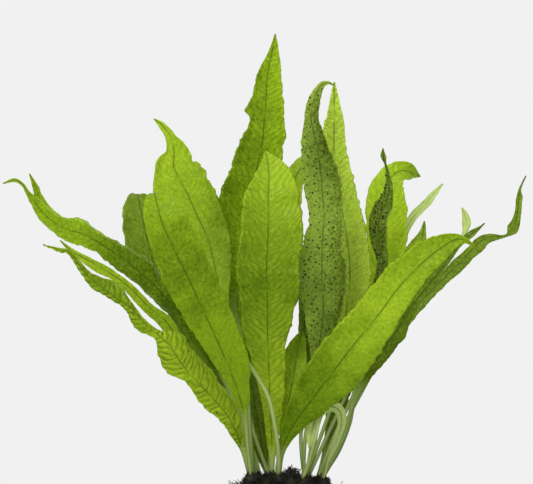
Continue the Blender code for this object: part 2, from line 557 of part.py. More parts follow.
def clear_of(obj, neighbour):
    """Cuts obj back so that it stays GAP away from neighbour."""
    cutter = bpy.data.objects.new(f"clearance_{obj.name}_{neighbour.name}", neighbour.data.copy())
    bpy.context.scene.collection.objects.link(cutter)
    cutter.hide_render = True
    cutter.display_type = "WIRE"
    swell = cutter.modifiers.new("swell", "DISPLACE")
    swell.strength = GAP * MM
    swell.mid_level = 0
    cut = obj.modifiers.new("clear_of_" + neighbour.name, "BOOLEAN")
    cut.operation = "DIFFERENCE"
    cut.object = cutter


def main():
    clear_scene()
    for frond in FRONDS:
        make_frond(frond)
    rhizomes = [make_rhizome(name, crest, line) for name, (crest, line) in RHIZOMES.items()]
    trunk = make_wood("driftwood_trunk", WOOD_TRUNK, 1)
    forks = [make_wood(name, stations, 2 + i) for i, (name, stations) in enumerate(WOOD_FORKS.items())]
    for fork in forks:
        clear_of(fork, trunk)
    mat = make_root_mat()
    for neighbour in (trunk, *rhizomes):
        clear_of(mat, neighbour)


main()
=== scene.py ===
# %% [markdown]
# # Java fern on driftwood
#
# A java fern is a water plant that grows on wood. Its blades rise on thin stalks from creeping
# stems, the rhizomes, and a mat of dark hair-fine roots grips the wood. The solids of the plant
# are already packed as a fixed frame. This lesson gives each of them its living surface: thin
# blades with a rib, sunken side veins and ruffled edges, fuzzy roots, and worn wood.

# %% Load the frame
import math
from dataclasses import dataclass
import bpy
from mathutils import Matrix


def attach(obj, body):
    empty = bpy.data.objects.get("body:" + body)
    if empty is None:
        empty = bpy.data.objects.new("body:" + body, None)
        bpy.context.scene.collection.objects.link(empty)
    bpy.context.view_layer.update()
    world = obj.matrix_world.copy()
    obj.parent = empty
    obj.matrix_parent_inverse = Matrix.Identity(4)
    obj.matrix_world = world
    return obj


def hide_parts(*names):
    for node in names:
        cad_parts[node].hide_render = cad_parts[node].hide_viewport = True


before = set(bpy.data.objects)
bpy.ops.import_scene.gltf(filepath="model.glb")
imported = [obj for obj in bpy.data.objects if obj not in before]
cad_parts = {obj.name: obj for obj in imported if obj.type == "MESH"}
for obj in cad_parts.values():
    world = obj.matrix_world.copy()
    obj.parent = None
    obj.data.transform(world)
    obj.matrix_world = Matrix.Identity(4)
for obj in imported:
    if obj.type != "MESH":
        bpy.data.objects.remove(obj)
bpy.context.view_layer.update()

from types import SimpleNamespace

import bmesh
import bpy
import numpy as np
from mathutils import Quaternion, Vector, noise
from mathutils.bvhtree import BVHTree

MM = 0.001

# %% [markdown]
# ## Helpers
#
# Colours are written as a painter would pick them from a chart, in sRGB hex, and Blender wants
# linear light, so one function converts them. Another adds a node of any kind to a tree, with
# its settings and its links, and gives back the node's first output: a formula then reads as a
# short list of lines.


# %% Colour and node helpers
def linear(hex_colour):
    """The linear light of an sRGB hex colour, as (red, green, blue, 1)."""
    parts = [int(hex_colour[i : i + 2], 16) / 255 for i in (1, 3, 5)]
    return (*(p / 12.92 if p <= 0.04045 else ((p + 0.055) / 1.055) ** 2.4 for p in parts), 1)


def add(tree, kind, *values, out=0, inputs=None, **settings):
    """Adds a node, sets its properties, and sets or links its inputs by order or by name.

    A kind in capitals is an operation of the Math node, and a colon stands before the operation
    of another kind. It gives back one output, or all of them in a list where out is None.
    """
    if kind.isupper():
        kind = "ShaderNodeMath:" + kind
    kind, _, operation = kind.partition(":")
    node = tree.nodes.new(kind)
    if operation:
        node.operation = operation
    for key, value in settings.items():
        setattr(node, key, value)
    sockets = [s for s in node.inputs if s.enabled]
    by_name = {s.name: s for s in reversed(sockets)}
    named = [(by_name[name], value) for name, value in (inputs or {}).items()]
    for socket, value in [*zip(sockets, values), *named]:
        if isinstance(value, bpy.types.NodeSocket):
            tree.links.new(value, socket)
        elif value is not None:
            socket.default_value = value
    outputs = [s for s in node.outputs if s.enabled]
    return outputs[out] if outputs and out is not None else outputs


def new_material(name):
    """A new material and its empty tree."""
    made = bpy.data.materials.new(name)
    made.use_nodes = True
    made.node_tree.nodes.clear()
    return made, made.node_tree


print("a mid green in linear light:", [round(part, 3) for part in linear("#638508")[:3]])

# %% [markdown]
# ## Camera and studio
#
# The plant is seen from straight in front at eye level, from 2 m away, so a long lens keeps its
# blades in proportion. It stands on a pale round table top in an even white room. A leaf is
# lit as much from behind as from in front: the room's light comes through the thin blades, and
# that makes them glow. A large soft panel from the upper left in front adds form, and a second
# one from behind on the right adds to the glow.

# %% The camera and the white room
VIEW_DISTANCE = 2000.0  # mm from the eye to the drawing plane
CROWN_UP = 46.0  # the crown line above the table, mm
EYE_UP = 133.0  # the eye above the crown line, mm
VIEW_WIDTH = 293.15  # mm of the drawing plane that the view takes in

scene = bpy.context.scene
eye = bpy.data.cameras.new("eye")
eye.sensor_width = 36
eye.lens = eye.sensor_width * VIEW_DISTANCE / VIEW_WIDTH
eye.clip_end = 20
camera = bpy.data.objects.new("camera", eye)
camera.location = (0, -VIEW_DISTANCE * MM, (CROWN_UP + EYE_UP) * MM)
camera.rotation_euler = (math.radians(90), 0, 0)
scene.collection.objects.link(camera)
scene.camera = camera
scene.view_settings.view_transform = "Standard"

room = bpy.data.worlds.new("white_room")
room.use_nodes = True
room.node_tree.nodes["Background"].inputs["Color"].default_value = linear("#F1F1F1")
room.node_tree.nodes["Background"].inputs["Strength"].default_value = 1.0
scene.world = room
print("lens, mm:", round(eye.lens, 1))

# %% The table top and the lights
bpy.ops.mesh.primitive_cylinder_add(vertices=96, radius=0.42, depth=0.01, location=(0, 0, -0.005))
table_top = bpy.context.object
table_top.name = "table_top"
# satin white paint on a board, rolled on, so its gloss is wide and faint
paint, tree = new_material("white_painted_table")
surface = add(tree, "ShaderNodeBsdfPrincipled", inputs={"Base Color": linear("#B7B7B5"), "Roughness": 0.6})
add(tree, "ShaderNodeOutputMaterial", surface)
table_top.data.materials.append(paint)


def soft_panel(name, place, aim, size, watts):
    """A large square light at place that faces aim."""
    light = bpy.data.lights.new(name, "AREA")
    light.size = size
    light.energy = watts
    panel = bpy.data.objects.new(name, light)
    panel.location = place
    panel.rotation_euler = (Vector(aim) - Vector(place)).to_track_quat("-Z", "Y").to_euler()
    scene.collection.objects.link(panel)


soft_panel("front_panel", (-0.6, -1.4, 1.7), (0, 0, 0.16), 0.8, 42)
soft_panel("back_panel", (0.9, 1.3, 1.5), (0, 0, 0.16), 0.9, 26)
print("table top, mm across:", round(table_top.dimensions.x / MM))

# %% [markdown]
# ## Drafting the fronds
#
# Each frond is drafted the way a pattern cutter would: as stations along its rib, each with the
# width of the blade to the left and to the right of it. A station is (across, up, depth, left,
# right) in millimetres on one front elevation, and `on_sight_line` moves it along the eye's line
# of sight to its depth. The stations are those of the imported solids, so every blade lies where
# its solid does. What is added here is how each blade looks: its tone, how its shade changes from
# foot to tip (0 is deep and 1 is light), how far its edge ruffles and how far it swells between
# its veins. The shade is partly the blade's own tone and partly painted shade and light: darker
# where other blades shadow or cover it, lighter where it is lit or glows with light from behind.


# %% The draft of one frond
@dataclass
class Frond:
    name: str
    tone: str
    turn: tuple  # degrees that the blade is turned about its rib, foot to tip
    shade: tuple  # 0 deep to 1 light, foot to tip: own tone with painted shade and painted light
    ruffle: float  # how far the edge waves, mm
    quilt: float  # how far the blade swells between two side veins, mm
    stations: tuple
    curl: tuple = (0, 0)  # how far the left and right rims rise to the front, as a share of their width
    blister: float = 0.15  # how far the skin puckers all over, mm
    lean: float = 0  # how much lighter the right half is, and darker the left: painted light and painted shade


def on_sight_line(places):
    """Points of the front elevation (across, up, depth), moved along the sight line, in mm."""
    across, up, depth = places.T
    reach = 1 + depth / VIEW_DISTANCE
    return np.stack([across * reach, depth, CROWN_UP + EYE_UP + (up - EYE_UP) * reach], 1)


def smooth_curve(points, steps):
    """Points on a Catmull-Rom curve through points, steps to each span, both ends included."""
    ends = np.array([points[0] * 2 - points[1], *points, points[-1] * 2 - points[-2]])
    made = []
    for a, b, c, d in zip(ends, ends[1:], ends[2:], ends[3:]):
        for t in np.arange(steps) / steps:
            bend = (c - a) * t + (a * 2 - b * 5 + c * 4 - d) * t**2 + (b * 3 - a - c * 3 + d) * t**3
            made.append(b + bend / 2)
    return np.array([*made, points[-1]])


print("the crown line is", CROWN_UP, "mm above the table")

# %% [markdown]
# ## The table of fronds
#
# The fronds stand in the order in which a gardener would count them: the tall ones in the middle,
# those that lean left, those that lean right, and the ones behind. Widths that change quickly from
# one station to the next make the notches, lobes and narrow necks that old blades have. They could
# be drawn as outlines, but numbers along a rib also say where the blade goes in depth.

# %% The tall fronds and those that lean left
LEFT_FRONDS = (
    Frond(
        "frond_tall", "fresh", (0, 0, -4, 4), (0.3, 0.4, 0.6, 0.55, 0.55, 0.62, 0.72, 0.75), 1.9, 0.6,
        ((1, 5.3, 2, 1, 1), (-8, 32, 7, 1, 1), (-13, 60, 11, 1.2, 1.2), (-16, 84, 14, 5, 5),
         (-16, 112, 16.5, 11, 10), (-14, 135, 16.5, 15, 12.5), (-10.5, 155, 14, 16, 12.5),
         (-5.5, 173, 11.5, 14, 12), (-2.5, 186.5, 9.5, 12.8, 12), (-1.4, 199, 8.5, 8, 11.5),
         (-0.8, 205.5, 8, 10.6, 10.5), (-0.2, 214, 7.5, 7.6, 9.3), (0.6, 225, 7, 5.6, 7.8),
         (3, 237, 7, 2.1, 4.2), (4.9, 247.5, 7, 0.3, 0.3)),
        curl=(0.12, 0.05), blister=0.4, lean=0.12,
    ),
    Frond(
        "frond_centre", "bright", (0, -6, -4), (0.85, 0.95, 0.95, 0.5, 0.25, 0.62, 0.95, 1.0), 1.8, 0.75,
        ((3, 5.3, -4, 1, 1), (3, 14, -5.5, 1.6, 1.8), (2.9, 25, -7, 3, 3.6), (2, 41, -10.5, 4, 6.8),
         (1.3, 60, -14, 7.5, 8.8), (0.6, 80, -17.5, 12.6, 10.2), (0.4, 92, -20, 14.5, 13.8),
         (0.3, 105, -20.5, 15.8, 17.4), (0, 120, -20.5, 17, 17.8), (0.8, 139, -19.5, 15.5, 19),
         (0.8, 156, -16.5, 14, 17), (1.3, 167, -13.5, 9, 14), (0.8, 175.5, -10.5, 4.6, 8),
         (-0.5, 183, -7.5, 0.3, 0.3)),
        curl=(0.05, 0.1), lean=0.08,
    ),
    Frond(
        "frond_front_left", "fresh", (-5, -8, -10),
        (0.85, 0.95, 1.0, 0.95, 0.5, 0.72, 0.85, 0.75, 0.6), 1.1, 0.25,
        ((-9, 5.3, -13, 1, 1), (-10.5, 20, -20, 1, 1), (-12, 35, -27.5, 1.5, 2),
         (-14.5, 46, -34, 2.5, 5.2), (-20.6, 63.8, -43, 6, 11.6), (-32.5, 90.2, -55, 11, 14),
         (-44.8, 116.6, -64, 13.5, 14), (-54.7, 137, -68, 11, 14.5), (-58.5, 147, -67.5, 9.5, 12.5),
         (-60.3, 154, -64, 7.2, 9), (-61.3, 157.8, -58, 4.2, 5), (-61.5, 158.5, -52, 2, 2),
         (-60.5, 156, -47, 0.4, 0.4)),
    ),
    Frond(
        "frond_left_pale", "bright", (0, -5, -8), (0.7, 0.7, 0.6, 0.6, 0.55, 0.75, 0.9, 1.0), 1.1, 0.35,
        ((6.2, 5.3, -14.5, 1, 1), (6.6, 14, -20, 1.2, 1.2), (5.2, 28, -26, 1.2, 1.2),
         (1.5, 46, -31, 1.2, 1.2), (-4, 57, -32, 1.2, 1.2), (-10.5, 67, -30, 1.2, 1.2),
         (-19, 81, -26, 1.4, 1.4), (-25, 101, -17, 4.5, 4.5), (-31, 130, -3.5, 11, 12),
         (-42, 156.2, 2, 14.4, 14.3), (-47.6, 167.2, 4, 15.8, 14), (-51, 175, 5, 11, 11.8),
         (-50.9, 183, 5.5, 4.8, 8.5), (-52.7, 190.5, 6, 3.2, 3), (-57.3, 197, 6, 2.2, 1.9),
         (-62, 200.8, 6, 0.3, 0.3)),
        curl=(0.25, 0), lean=-0.26,
    ),
    Frond(
        "frond_left_round", "deep", (-10, -15), (0.3, 0.5, 0.7, 0.75, 0.6), 1.2, 0.35,
        ((-6, 5.3, 8, 1, 1), (-12, 32, 17, 1, 1), (-24, 60, 27, 1.4, 1.4), (-41, 87, 35, 6, 6),
         (-57, 109, 40, 10.4, 10), (-64.5, 129, 43, 12.6, 11.5), (-67.5, 143, 46, 12.4, 11.5),
         (-69.5, 151.5, 49.5, 9.9, 9.5), (-70.5, 156.5, 54, 6.3, 6.3), (-70.8, 158.6, 59, 3, 3),
         (-70.5, 156.5, 64, 0.4, 0.4)),
        curl=(0.15, 0.1),
    ),
    Frond(
        "frond_far_left", "fresh", (-15, -30, -30, -20),
        (0.1, 0.1, 0.1, 0.35, 0.75, 0.85, 0.8, 0.85, 0.9), 2.4, 0.45,
        ((-7, 5.3, 0, 1, 1), (-13, 30, 3, 1, 1), (-21, 53, 5, 1.5, 1.5), (-33, 74, 8, 4.8, 4.8),
         (-45, 90, 10, 7.3, 7.3), (-60, 107, 11, 9.8, 9.4), (-75, 120.5, 11, 10.6, 9.2),
         (-89, 130.3, 10, 8.4, 6.8), (-95, 134, 9, 8.8, 7.6), (-102, 137.5, 8, 10.6, 9.4),
         (-109, 139.5, 7, 10, 8.6), (-115.5, 142.8, 6, 8.2, 6.8), (-122, 148, 5, 6.2, 5.4),
         (-127, 154.5, 4, 4.5, 4), (-131, 160, 3.5, 2, 1.6), (-134.5, 165, 3, 1.4, 1),
         (-139, 167, 2.5, 1.6, 1.2), (-145, 165, 2, 0.3, 0.3)),
        curl=(0.45, -0.35), blister=0.25,
    ),
    Frond(
        "frond_far_left_behind", "bright", (-15, -30, -30, -20), (0.3, 0.3, 0.5, 0.7), 1.0, 0.3,
        ((-6, 5.3, 4, 1, 1), (-12, 30, 12, 1, 1), (-21, 53, 20, 1, 1), (-34, 75, 26, 2, 2),
         (-48, 92, 30, 4, 4), (-62, 106, 33, 4, 4), (-79, 120, 34, 4, 4), (-95, 132, 33, 3, 3),
         (-108, 140, 31, 4, 4), (-118, 147, 29, 3.5, 3.5), (-124.6, 156.5, 27, 2.5, 2.5),
         (-127.5, 163.5, 25, 2, 2), (-130.6, 170.5, 24, 0.3, 0.3)),
    ),
    Frond(
        "frond_left_middle", "bright", (-20, -35, -35), (0.4, 0.5, 0.7, 0.75), 1.8, 0.3,
        ((-8, 5.3, -5, 1, 1), (-12, 22, -8, 1, 1), (-19.5, 38, -12, 1, 1), (-28, 52, -15, 1.2, 1.2),
         (-38, 65, -17, 2.8, 2), (-47, 76, -18, 5.6, 3), (-55.8, 89.5, -18, 8, 3),
         (-64.1, 96.8, -18, 7.4, 2.2), (-77.8, 109.5, -19, 5.8, 2.2), (-84.8, 115, -19.5, 4.6, 2.2),
         (-91.6, 119.4, -19.5, 6.6, 2.2), (-98.5, 123.2, -19, 5, 1.8),
         (-103.5, 125.8, -18.5, 2.4, 1.5), (-108, 128.3, -18, 1.5, 1.5),
         (-113.6, 133.7, -17, 0.3, 0.3)),
        curl=(0.6, 0.4), blister=0.2,
    ),
    Frond(
        "frond_left_low", "bright", (-15, -20, -30, -25),
        (0.7, 0.8, 1.0, 0.9, 0.75, 0.4, 0.3, 0.5, 0.8), 3.0, 1.3,
        ((-9.5, 5.3, -9, 1, 1), (-12.9, 18.7, -14, 1.8, 2), (-16.8, 28, -20, 4.3, 5),
         (-22.8, 39, -25, 6, 9), (-33.8, 51.7, -32, 8.2, 10.5), (-42.1, 60, -37, 5.8, 12),
         (-49.8, 69.9, -40.5, 12.4, 10), (-54.2, 76.5, -41.5, 11.8, 11), (-60.2, 82, -42, 3.6, 3.5),
         (-67.9, 89.1, -43, 9, 2), (-74.5, 96.8, -43, 4.6, 3), (-81.7, 101.2, -43, 3.2, 8),
         (-88.8, 106.2, -42, 4.2, 9.6), (-94.3, 110.6, -41.5, 5.2, 5), (-99.8, 115.5, -41, 2.8, 3),
         (-108.1, 126.5, -39, 1.7, 1.7), (-113.6, 128.2, -38.5, 1.7, 1.7),
         (-122.9, 131.5, -37, 0.3, 0.3)),
        curl=(0.5, -0.45), blister=0.25,
    ),
)
print(len(LEFT_FRONDS), "fronds, the tallest", LEFT_FRONDS[0].stations[-1][1], "mm above the crown")

# %% [markdown]
# ## The fronds of the middle
#
# Between the two clusters of stalks stand a very young blade, one that bows over at its tip, and
# the broad blade in front that leans right. The old spotted blade behind it hooks over at its
# tip: its last stations run down again.

# %% The fronds of the middle
MIDDLE_FRONDS = (
    Frond(
        "frond_young_centre", "fresh", (20,), (0.3, 0.4, 0.4), 0.4, 0.1,
        ((-7.4, 5.3, -2.5, 1, 1), (-9, 32, -6, 1, 1), (-11, 60, -5, 1, 1), (-15, 82, -2, 2.2, 2.2),
         (-18, 97, 0, 1.8, 1.8), (-16, 108, 1, 0.3, 0.3)),
    ),
    Frond(
        "frond_bowed_back", "lit", (0,), (0.3, 0.3, 0.5, 1.2, 1.5), 0.8, 0.3,
        ((1.5, 5.3, 7, 1, 1), (4, 46, 18, 1, 1), (6, 80, 26, 2, 2), (8.3, 101, 30, 5, 5),
         (11.3, 129, 33, 6, 6), (12.9, 151, 34, 6, 6), (14.6, 164, 35, 5.5, 5.5),
         (18.5, 173, 35, 5.2, 5.2), (25, 177, 35, 5, 5), (31.6, 173, 35, 5, 5), (36, 165, 35, 5, 5),
         (38, 150, 36.5, 5, 5), (39.3, 120, 39, 0.4, 0.4)),
        curl=(0.1, 0.1),
    ),
    Frond(
        "frond_low_blade", "bright", (5, 10), (0.5, 0.55, 0.6), 1.0, 0.35,
        ((5, 5.3, -7.5, 1, 1), (8.5, 22, -5.5, 1.5, 2.3), (11, 38, -7.5, 4.3, 4.5),
         (13.5, 52, -8, 6, 6), (15.7, 64, -6, 7.2, 6.5), (17, 73, -4, 6.2, 5),
         (18.6, 79.5, -2, 3.6, 3), (19.5, 84.5, -1, 0.4, 0.4)),
        curl=(0.2, -0.1),
    ),
    Frond(
        "frond_right_front", "bright", (5, 12, 15, 10),
        (0.2, 0.1, 0.15, 0.5, 0.8, 0.5, 0.4, 0.5, 0.5), 1.2, 0.25,
        ((7, 5.3, -11, 1, 1), (8.5, 18, -18, 2, 2), (14, 31, -26, 5.5, 5), (25.5, 47, -34, 11.5, 10.5),
         (37, 62, -42, 14, 15), (47, 75, -49, 13.5, 15), (60, 91, -56, 12.5, 12.5),
         (72, 107, -61, 11.8, 10.5), (84, 120, -64, 10.3, 8.5), (95.5, 129.5, -65, 8, 6.5),
         (103, 134, -65, 3.8, 4.5), (108, 134.3, -64.5, 2, 2.5), (112.5, 131.8, -64, 0.9, 0.9),
         (116.3, 127.6, -63.5, 0.3, 0.3)),
        curl=(0.1, -0.12),
    ),
    Frond(
        "frond_spotted_wide", "spotted", (5, 8, -5, 0),
        (0.3, 0.4, 0.5, 0.7, 0.9, 0.5, 0.55, 0.9, 1.9), 1.5, 0.45,
        ((20.2, 3.3, -6, 1, 1), (21.2, 24, -8, 1, 1), (24.5, 46, -10, 1.2, 1.2),
         (27.8, 68, -12, 3.5, 3.5), (31, 92, -13.5, 10, 10), (30.8, 108, -14, 12.4, 14.5),
         (30.5, 122, -14, 12.5, 14.5), (30.6, 129, -14, 11.5, 11.5), (31.4, 146, -13.5, 8, 11),
         (30.5, 164.5, -12, 10.3, 10.2), (29.4, 174, -11, 10.3, 8.2), (27, 189, -10, 8.5, 5),
         (24.5, 200, -9, 4, 4), (25.4, 209.5, -9, 3.2, 3.8), (29.4, 218.4, -9, 1.9, 2.2),
         (33.5, 220.6, -8.5, 1.1, 1.1), (37.1, 219.3, -8, 0.3, 0.3)),
        curl=(0.1, 0.7), blister=0.3, lean=-0.35,
    ),
    Frond(
        "frond_spotted_lobe", "spotted", (-10,), (0.3, 0.3, 0.4), 0.6, 0.2,
        ((20.9, 3.3, -1.5, 1, 1), (19.4, 16, -0.8, 1, 1), (18.9, 30, 0, 1, 1.2),
         (19.8, 62, 3, 1.4, 3.8), (20.6, 85, 5, 3, 6.5), (21.4, 101, 6, 3.9, 6),
         (22, 115, 6, 3.2, 4.5), (23, 129, 6, 0.4, 0.4)),
    ),
)
print(len(MIDDLE_FRONDS), "fronds")

# %% [markdown]
# ## The fronds that lean right
#
# These rise from the right cluster. Some are only a few mm wide, because they are young or seen
# from the side, and their edges turn up strongly, which the larger ruffles give.

# %% The fronds that lean right
RIGHT_FRONDS = (
    Frond(
        "frond_light_right", "lit", (0, 5, 0), (0.3, 0.7, 1.2, 0.85, 0.85), 1.4, 0.6,
        ((21.9, 3.3, 6, 1, 1), (26, 27, 11, 1, 1), (33, 49, 15, 1.2, 1.2), (40, 74, 18, 5, 5),
         (44, 96, 20, 10, 10), (46, 118, 20, 12, 11.3), (43.5, 140, 18, 12, 10.9),
         (39, 162, 15, 11.4, 10.2), (37.2, 182, 13, 9, 7.3), (37.2, 201, 11, 4.7, 5.2),
         (37.2, 210, 10.5, 2.6, 3), (37.3, 221, 10, 0.5, 0.5)),
        curl=(0, 0.12), blister=0.8,
    ),
    Frond(
        "frond_spotted_narrow", "spotted", (5, 15, 20), (0.4, 0.4, 0.4, 0.35), 1.2, 0.3,
        ((21.5, 3.3, 2.3, 1, 1), (32, 32, 9, 1, 1), (43, 62, 18, 1, 1), (53, 87, 28, 1.2, 1.2),
         (60, 104, 34, 3, 3), (64, 121, 38, 3.3, 3.3), (61.9, 134, 39, 4.4, 4.4),
         (62, 144, 39, 5.5, 5), (65.5, 153.5, 39, 5.2, 4.5), (67.5, 161.7, 38, 2.8, 2.7),
         (66.8, 170, 37.5, 1.2, 1.2), (65.3, 176, 37, 0.7, 0.7), (64.3, 180, 36.5, 1.7, 1.7),
         (64, 184.5, 36, 0.3, 0.3)),
        curl=(0.2, 0.2), blister=0.35,
    ),
    Frond(
        "frond_right_round", "bright", (5, 12, 15), (0.6, 0.7, 0.85, 0.85, 0.15), 1.1, 0.4,
        ((22.6, 3.3, 9.6, 1, 1), (35, 30, 24, 1, 1), (46, 54, 38, 1.2, 1.2), (56, 79, 49, 6, 6),
         (62, 101, 56, 10, 10), (65.5, 123, 60, 11, 11.5), (66, 143, 62.5, 11.3, 12),
         (66, 157, 64, 10.6, 11), (68, 167.3, 66, 8, 8), (73, 172, 68, 6, 6.3),
         (79, 171.8, 70, 5.8, 6), (84.8, 169.3, 71.5, 0.4, 0.4)),
    ),
    Frond(
        "frond_right_finger", "pale", (20, 25), (0.5, 0.6, 0.7), 0.3, 0.1,
        ((28.8, 3.3, 9.5, 1, 1), (39, 30, 28, 1, 1), (53, 60, 48, 1, 1), (63, 88, 64, 1.5, 1.5),
         (69, 112, 74, 2.3, 1.8), (74.2, 132.3, 79, 2.5, 1.9), (79.6, 144.6, 81, 2.8, 2.3),
         (87.8, 154, 82.5, 2.5, 2.5), (92.5, 159.8, 83.5, 1.9, 1.9), (97, 165, 84, 0.4, 0.4)),
    ),
    Frond(
        "frond_right_dark", "deep", (20, 30), (0.7, 1.0, 1.3), 1.4, 0.3,
        ((29.5, 3.3, 5.5, 1, 1), (41, 29, 14, 1, 1), (54, 54, 22, 1.2, 1.2), (66, 82, 29, 5, 5),
         (75, 107, 33, 6, 6), (81, 125, 35, 5, 5), (85, 133, 36, 4, 3.5), (86.5, 139, 36, 1.9, 1.9),
         (87, 144.5, 36, 0.4, 0.4)),
        curl=(0.3, 0.2), blister=0.3,
    ),
    Frond(
        "frond_right_twisted", "deep", (15, 25, 30), (0.4, 0.5, 0.6), 2.0, 0.3,
        ((30.8, 3.3, -5.2, 1, 1), (37, 14, -8, 1, 1), (43.2, 27, -12, 1, 1), (46.8, 40.7, -17, 1, 1),
         (52, 53.9, -22, 2, 2.4), (65.5, 75.6, -31, 5, 6.6), (72, 85, -33.5, 5, 7.4),
         (77.5, 93.5, -36, 5, 5), (84.4, 103, -38, 4, 3.4), (91, 111.5, -39, 4, 4),
         (96, 117.7, -40, 3, 1.8), (101, 125.4, -40, 2.5, 3), (106.5, 131.5, -40, 2, 1.6),
         (113, 137, -40, 2, 2), (117.5, 140.8, -40, 0.8, 0.8), (120.2, 143.2, -40, 0.3, 0.3)),
        curl=(0.3, 0.3), blister=0.3,
    ),
    Frond(
        "frond_right_small", "pale", (15, 20), (0.3, 0.4, 0.6), 0.3, 0.1,
        ((30, 3.3, 1.8, 1, 1), (42.5, 28, 4, 1, 1), (53, 56, 7, 1, 1), (76, 90, 14, 1, 1),
         (99, 121, 20, 1, 1), (108, 136, 22, 1.1, 1.1), (110, 143, 22, 2.4, 2.4),
         (109.3, 148, 22, 1.8, 1.8), (107.5, 152, 22, 0.3, 0.3)),
    ),
    Frond(
        "frond_far_right", "deep", (15, 25, 30, 20), (0.5, 0.6, 0.7, 0.8), 2.2, 0.35,
        ((30.5, 3.3, -1.7, 1, 1), (34.5, 9.5, -2, 1, 1), (40, 19, -2.5, 1.2, 1.2),
         (45.3, 33, -2.5, 1.4, 1.4), (49, 50, -1, 1.8, 1.8), (57.5, 66.5, 1, 2.8, 3.4),
         (74.5, 88.5, 6, 3, 3.6), (91, 106.2, 10, 3, 3.3), (98.2, 113.3, 13, 2.7, 3.4),
         (105.3, 121, 13, 3.2, 4.2), (111.9, 127.6, 13, 2.4, 4.2), (117.4, 132.6, 13, 2.6, 4.4),
         (122.9, 135.3, 13, 1.6, 3.2), (131.7, 136.4, 13, 0.6, 0.9), (135.3, 140.3, 13, 3, 3.4),
         (137.8, 147, 13, 1.6, 2), (139, 157, 13, 1.4, 1.9), (139.5, 162, 13, 0.6, 0.7),
         (142.9, 169.3, 13, 0.3, 0.3)),
        curl=(0.4, -0.3), blister=0.3,
    ),
    Frond(
        "frond_arched_low", "pale", (0,), (0.8, 0.9, 0.9), 0.4, 0.15,
        ((31.1, 3.3, -8.6, 1, 1), (34, 14, -13, 1.4, 1.4), (38.5, 25, -17, 2.6, 2.6),
         (41, 33, -20, 3, 3), (40, 40, -23, 3, 3), (35.5, 42.5, -25, 3, 3), (30, 40.5, -26, 3, 3),
         (26.5, 34, -26, 3.2, 3.2), (24.5, 26, -25, 2.6, 2.6), (24, 18, -23, 0.4, 0.4)),
    ),
    Frond(
        "frond_young_right", "bright", (0,), (0.4, 0.4), 0.1, 0.0,
        ((19.9, 3.3, -12, 1, 1), (22.5, 10, -17.5, 1, 1), (26, 22, -29, 0.9, 0.9),
         (28.5, 32, -31.5, 0.8, 0.8), (30.5, 40, -32, 0.3, 0.3)),
    ),
)
print(len(RIGHT_FRONDS), "fronds")

# %% [markdown]
# ## The fronds behind
#
# A plant grows all round. These lean back, away from the front, and fill the tuft when it is seen
# from the side or from behind. They are plain, healthy blades.

# %% The fronds behind, and the whole table
BACK_FRONDS = (
    Frond(
        "frond_back_left", "fresh", (-15, -25), (0.3, 0.4, 0.6), 1.0, 0.35,
        ((-4, 5.3, 17, 1, 1), (-9, 32, 32, 1, 1), (-16, 60, 50, 1.5, 1.5), (-22, 84, 63, 8, 8),
         (-27, 110, 73, 10.5, 10.5), (-29, 130, 78, 6.5, 6.5), (-30, 147, 80, 0.4, 0.4)),
    ),
    Frond(
        "frond_back_left_low", "fresh", (-20, -35), (0.3, 0.4, 0.5), 1.0, 0.35,
        ((-5, 5.3, 12.5, 1, 1), (-13, 31, 26, 1.5, 1.5), (-25, 55.5, 42, 4.5, 4.5),
         (-37, 77, 54, 8.5, 8.5), (-46, 95, 62, 8.5, 8.5), (-52, 112, 68, 5.5, 5.5),
         (-57, 126, 71, 0.4, 0.4)),
    ),
    Frond(
        "frond_back_centre", "bright", (0, 5), (0.3, 0.4, 0.6), 1.0, 0.35,
        ((2.5, 5.3, 12.5, 1, 1), (4, 35, 30, 1, 1), (5, 65, 48, 3, 3), (4.5, 92, 61, 9.5, 9.5),
         (2, 119, 72, 11.5, 11.5), (0, 144, 79, 7, 7), (-2, 162, 81, 0.4, 0.4)),
    ),
    Frond(
        "frond_back_inner", "deep", (0,), (0.3, 0.4, 0.6), 0.8, 0.3,
        ((0.2, 5.3, 16, 1, 1), (-1.5, 16, 20, 4, 4), (-4, 30, 25, 6.5, 6.5), (-7, 48, 30, 7, 7),
         (-9.5, 66, 35, 6.5, 6.5), (-9, 86, 39, 4, 4), (-8, 102, 41, 0.4, 0.4)),
    ),
    Frond(
        "frond_back_right", "fresh", (10, 15), (0.3, 0.4, 0.6), 1.0, 0.35,
        ((23.4, 3.3, 15, 1, 1), (28, 32, 32, 1, 1), (33, 60, 50, 1.5, 1.5), (37, 88, 65, 8, 8),
         (40, 113, 76, 9.5, 9.5), (42, 130, 82, 6, 6), (44, 145, 84, 0.4, 0.4)),
    ),
    Frond(
        "frond_back_right_low", "deep", (10, 15), (0.3, 0.4, 0.5), 1.0, 0.3,
        ((28.2, 3.3, 13.5, 1, 1), (31.5, 14, 21, 1.5, 1.5), (35, 27, 30, 3, 3),
         (38.5, 42, 41, 5.5, 5.5), (43.5, 60, 54, 6, 6), (50, 77, 65, 4.5, 4.5),
         (56, 92, 74, 0.4, 0.4)),
    ),
)
FRONDS = LEFT_FRONDS + MIDDLE_FRONDS + RIGHT_FRONDS + BACK_FRONDS
print(len(FRONDS), "fronds in all")

# %% [markdown]
# ## Sweeping a blade along its rib
#
# A blade is thinner than a fingernail: 0.3 mm at its edge and about 1.3 mm through the rib. It
# could be a flat sheet with Solidify, but then the rib and the round stalk would need pieces of
# their own. Here one closed skin is swept along the rib instead. Where the draft is 1 mm wide the
# section is a round stalk, and as it widens the section flattens into a thin, slightly folded
# blade with a raised rib. The section is carried along the curve with no twist, from the widest
# station, which faces the front. Each point keeps what later steps need as attributes: its place
# on the flattened blade in mm, the way the blade faces there, and its shade.

# %% The rows of a blade
ROW = 0.85  # mm from one row of points to the next
SPAN_STEPS = 24  # fine points between two stations


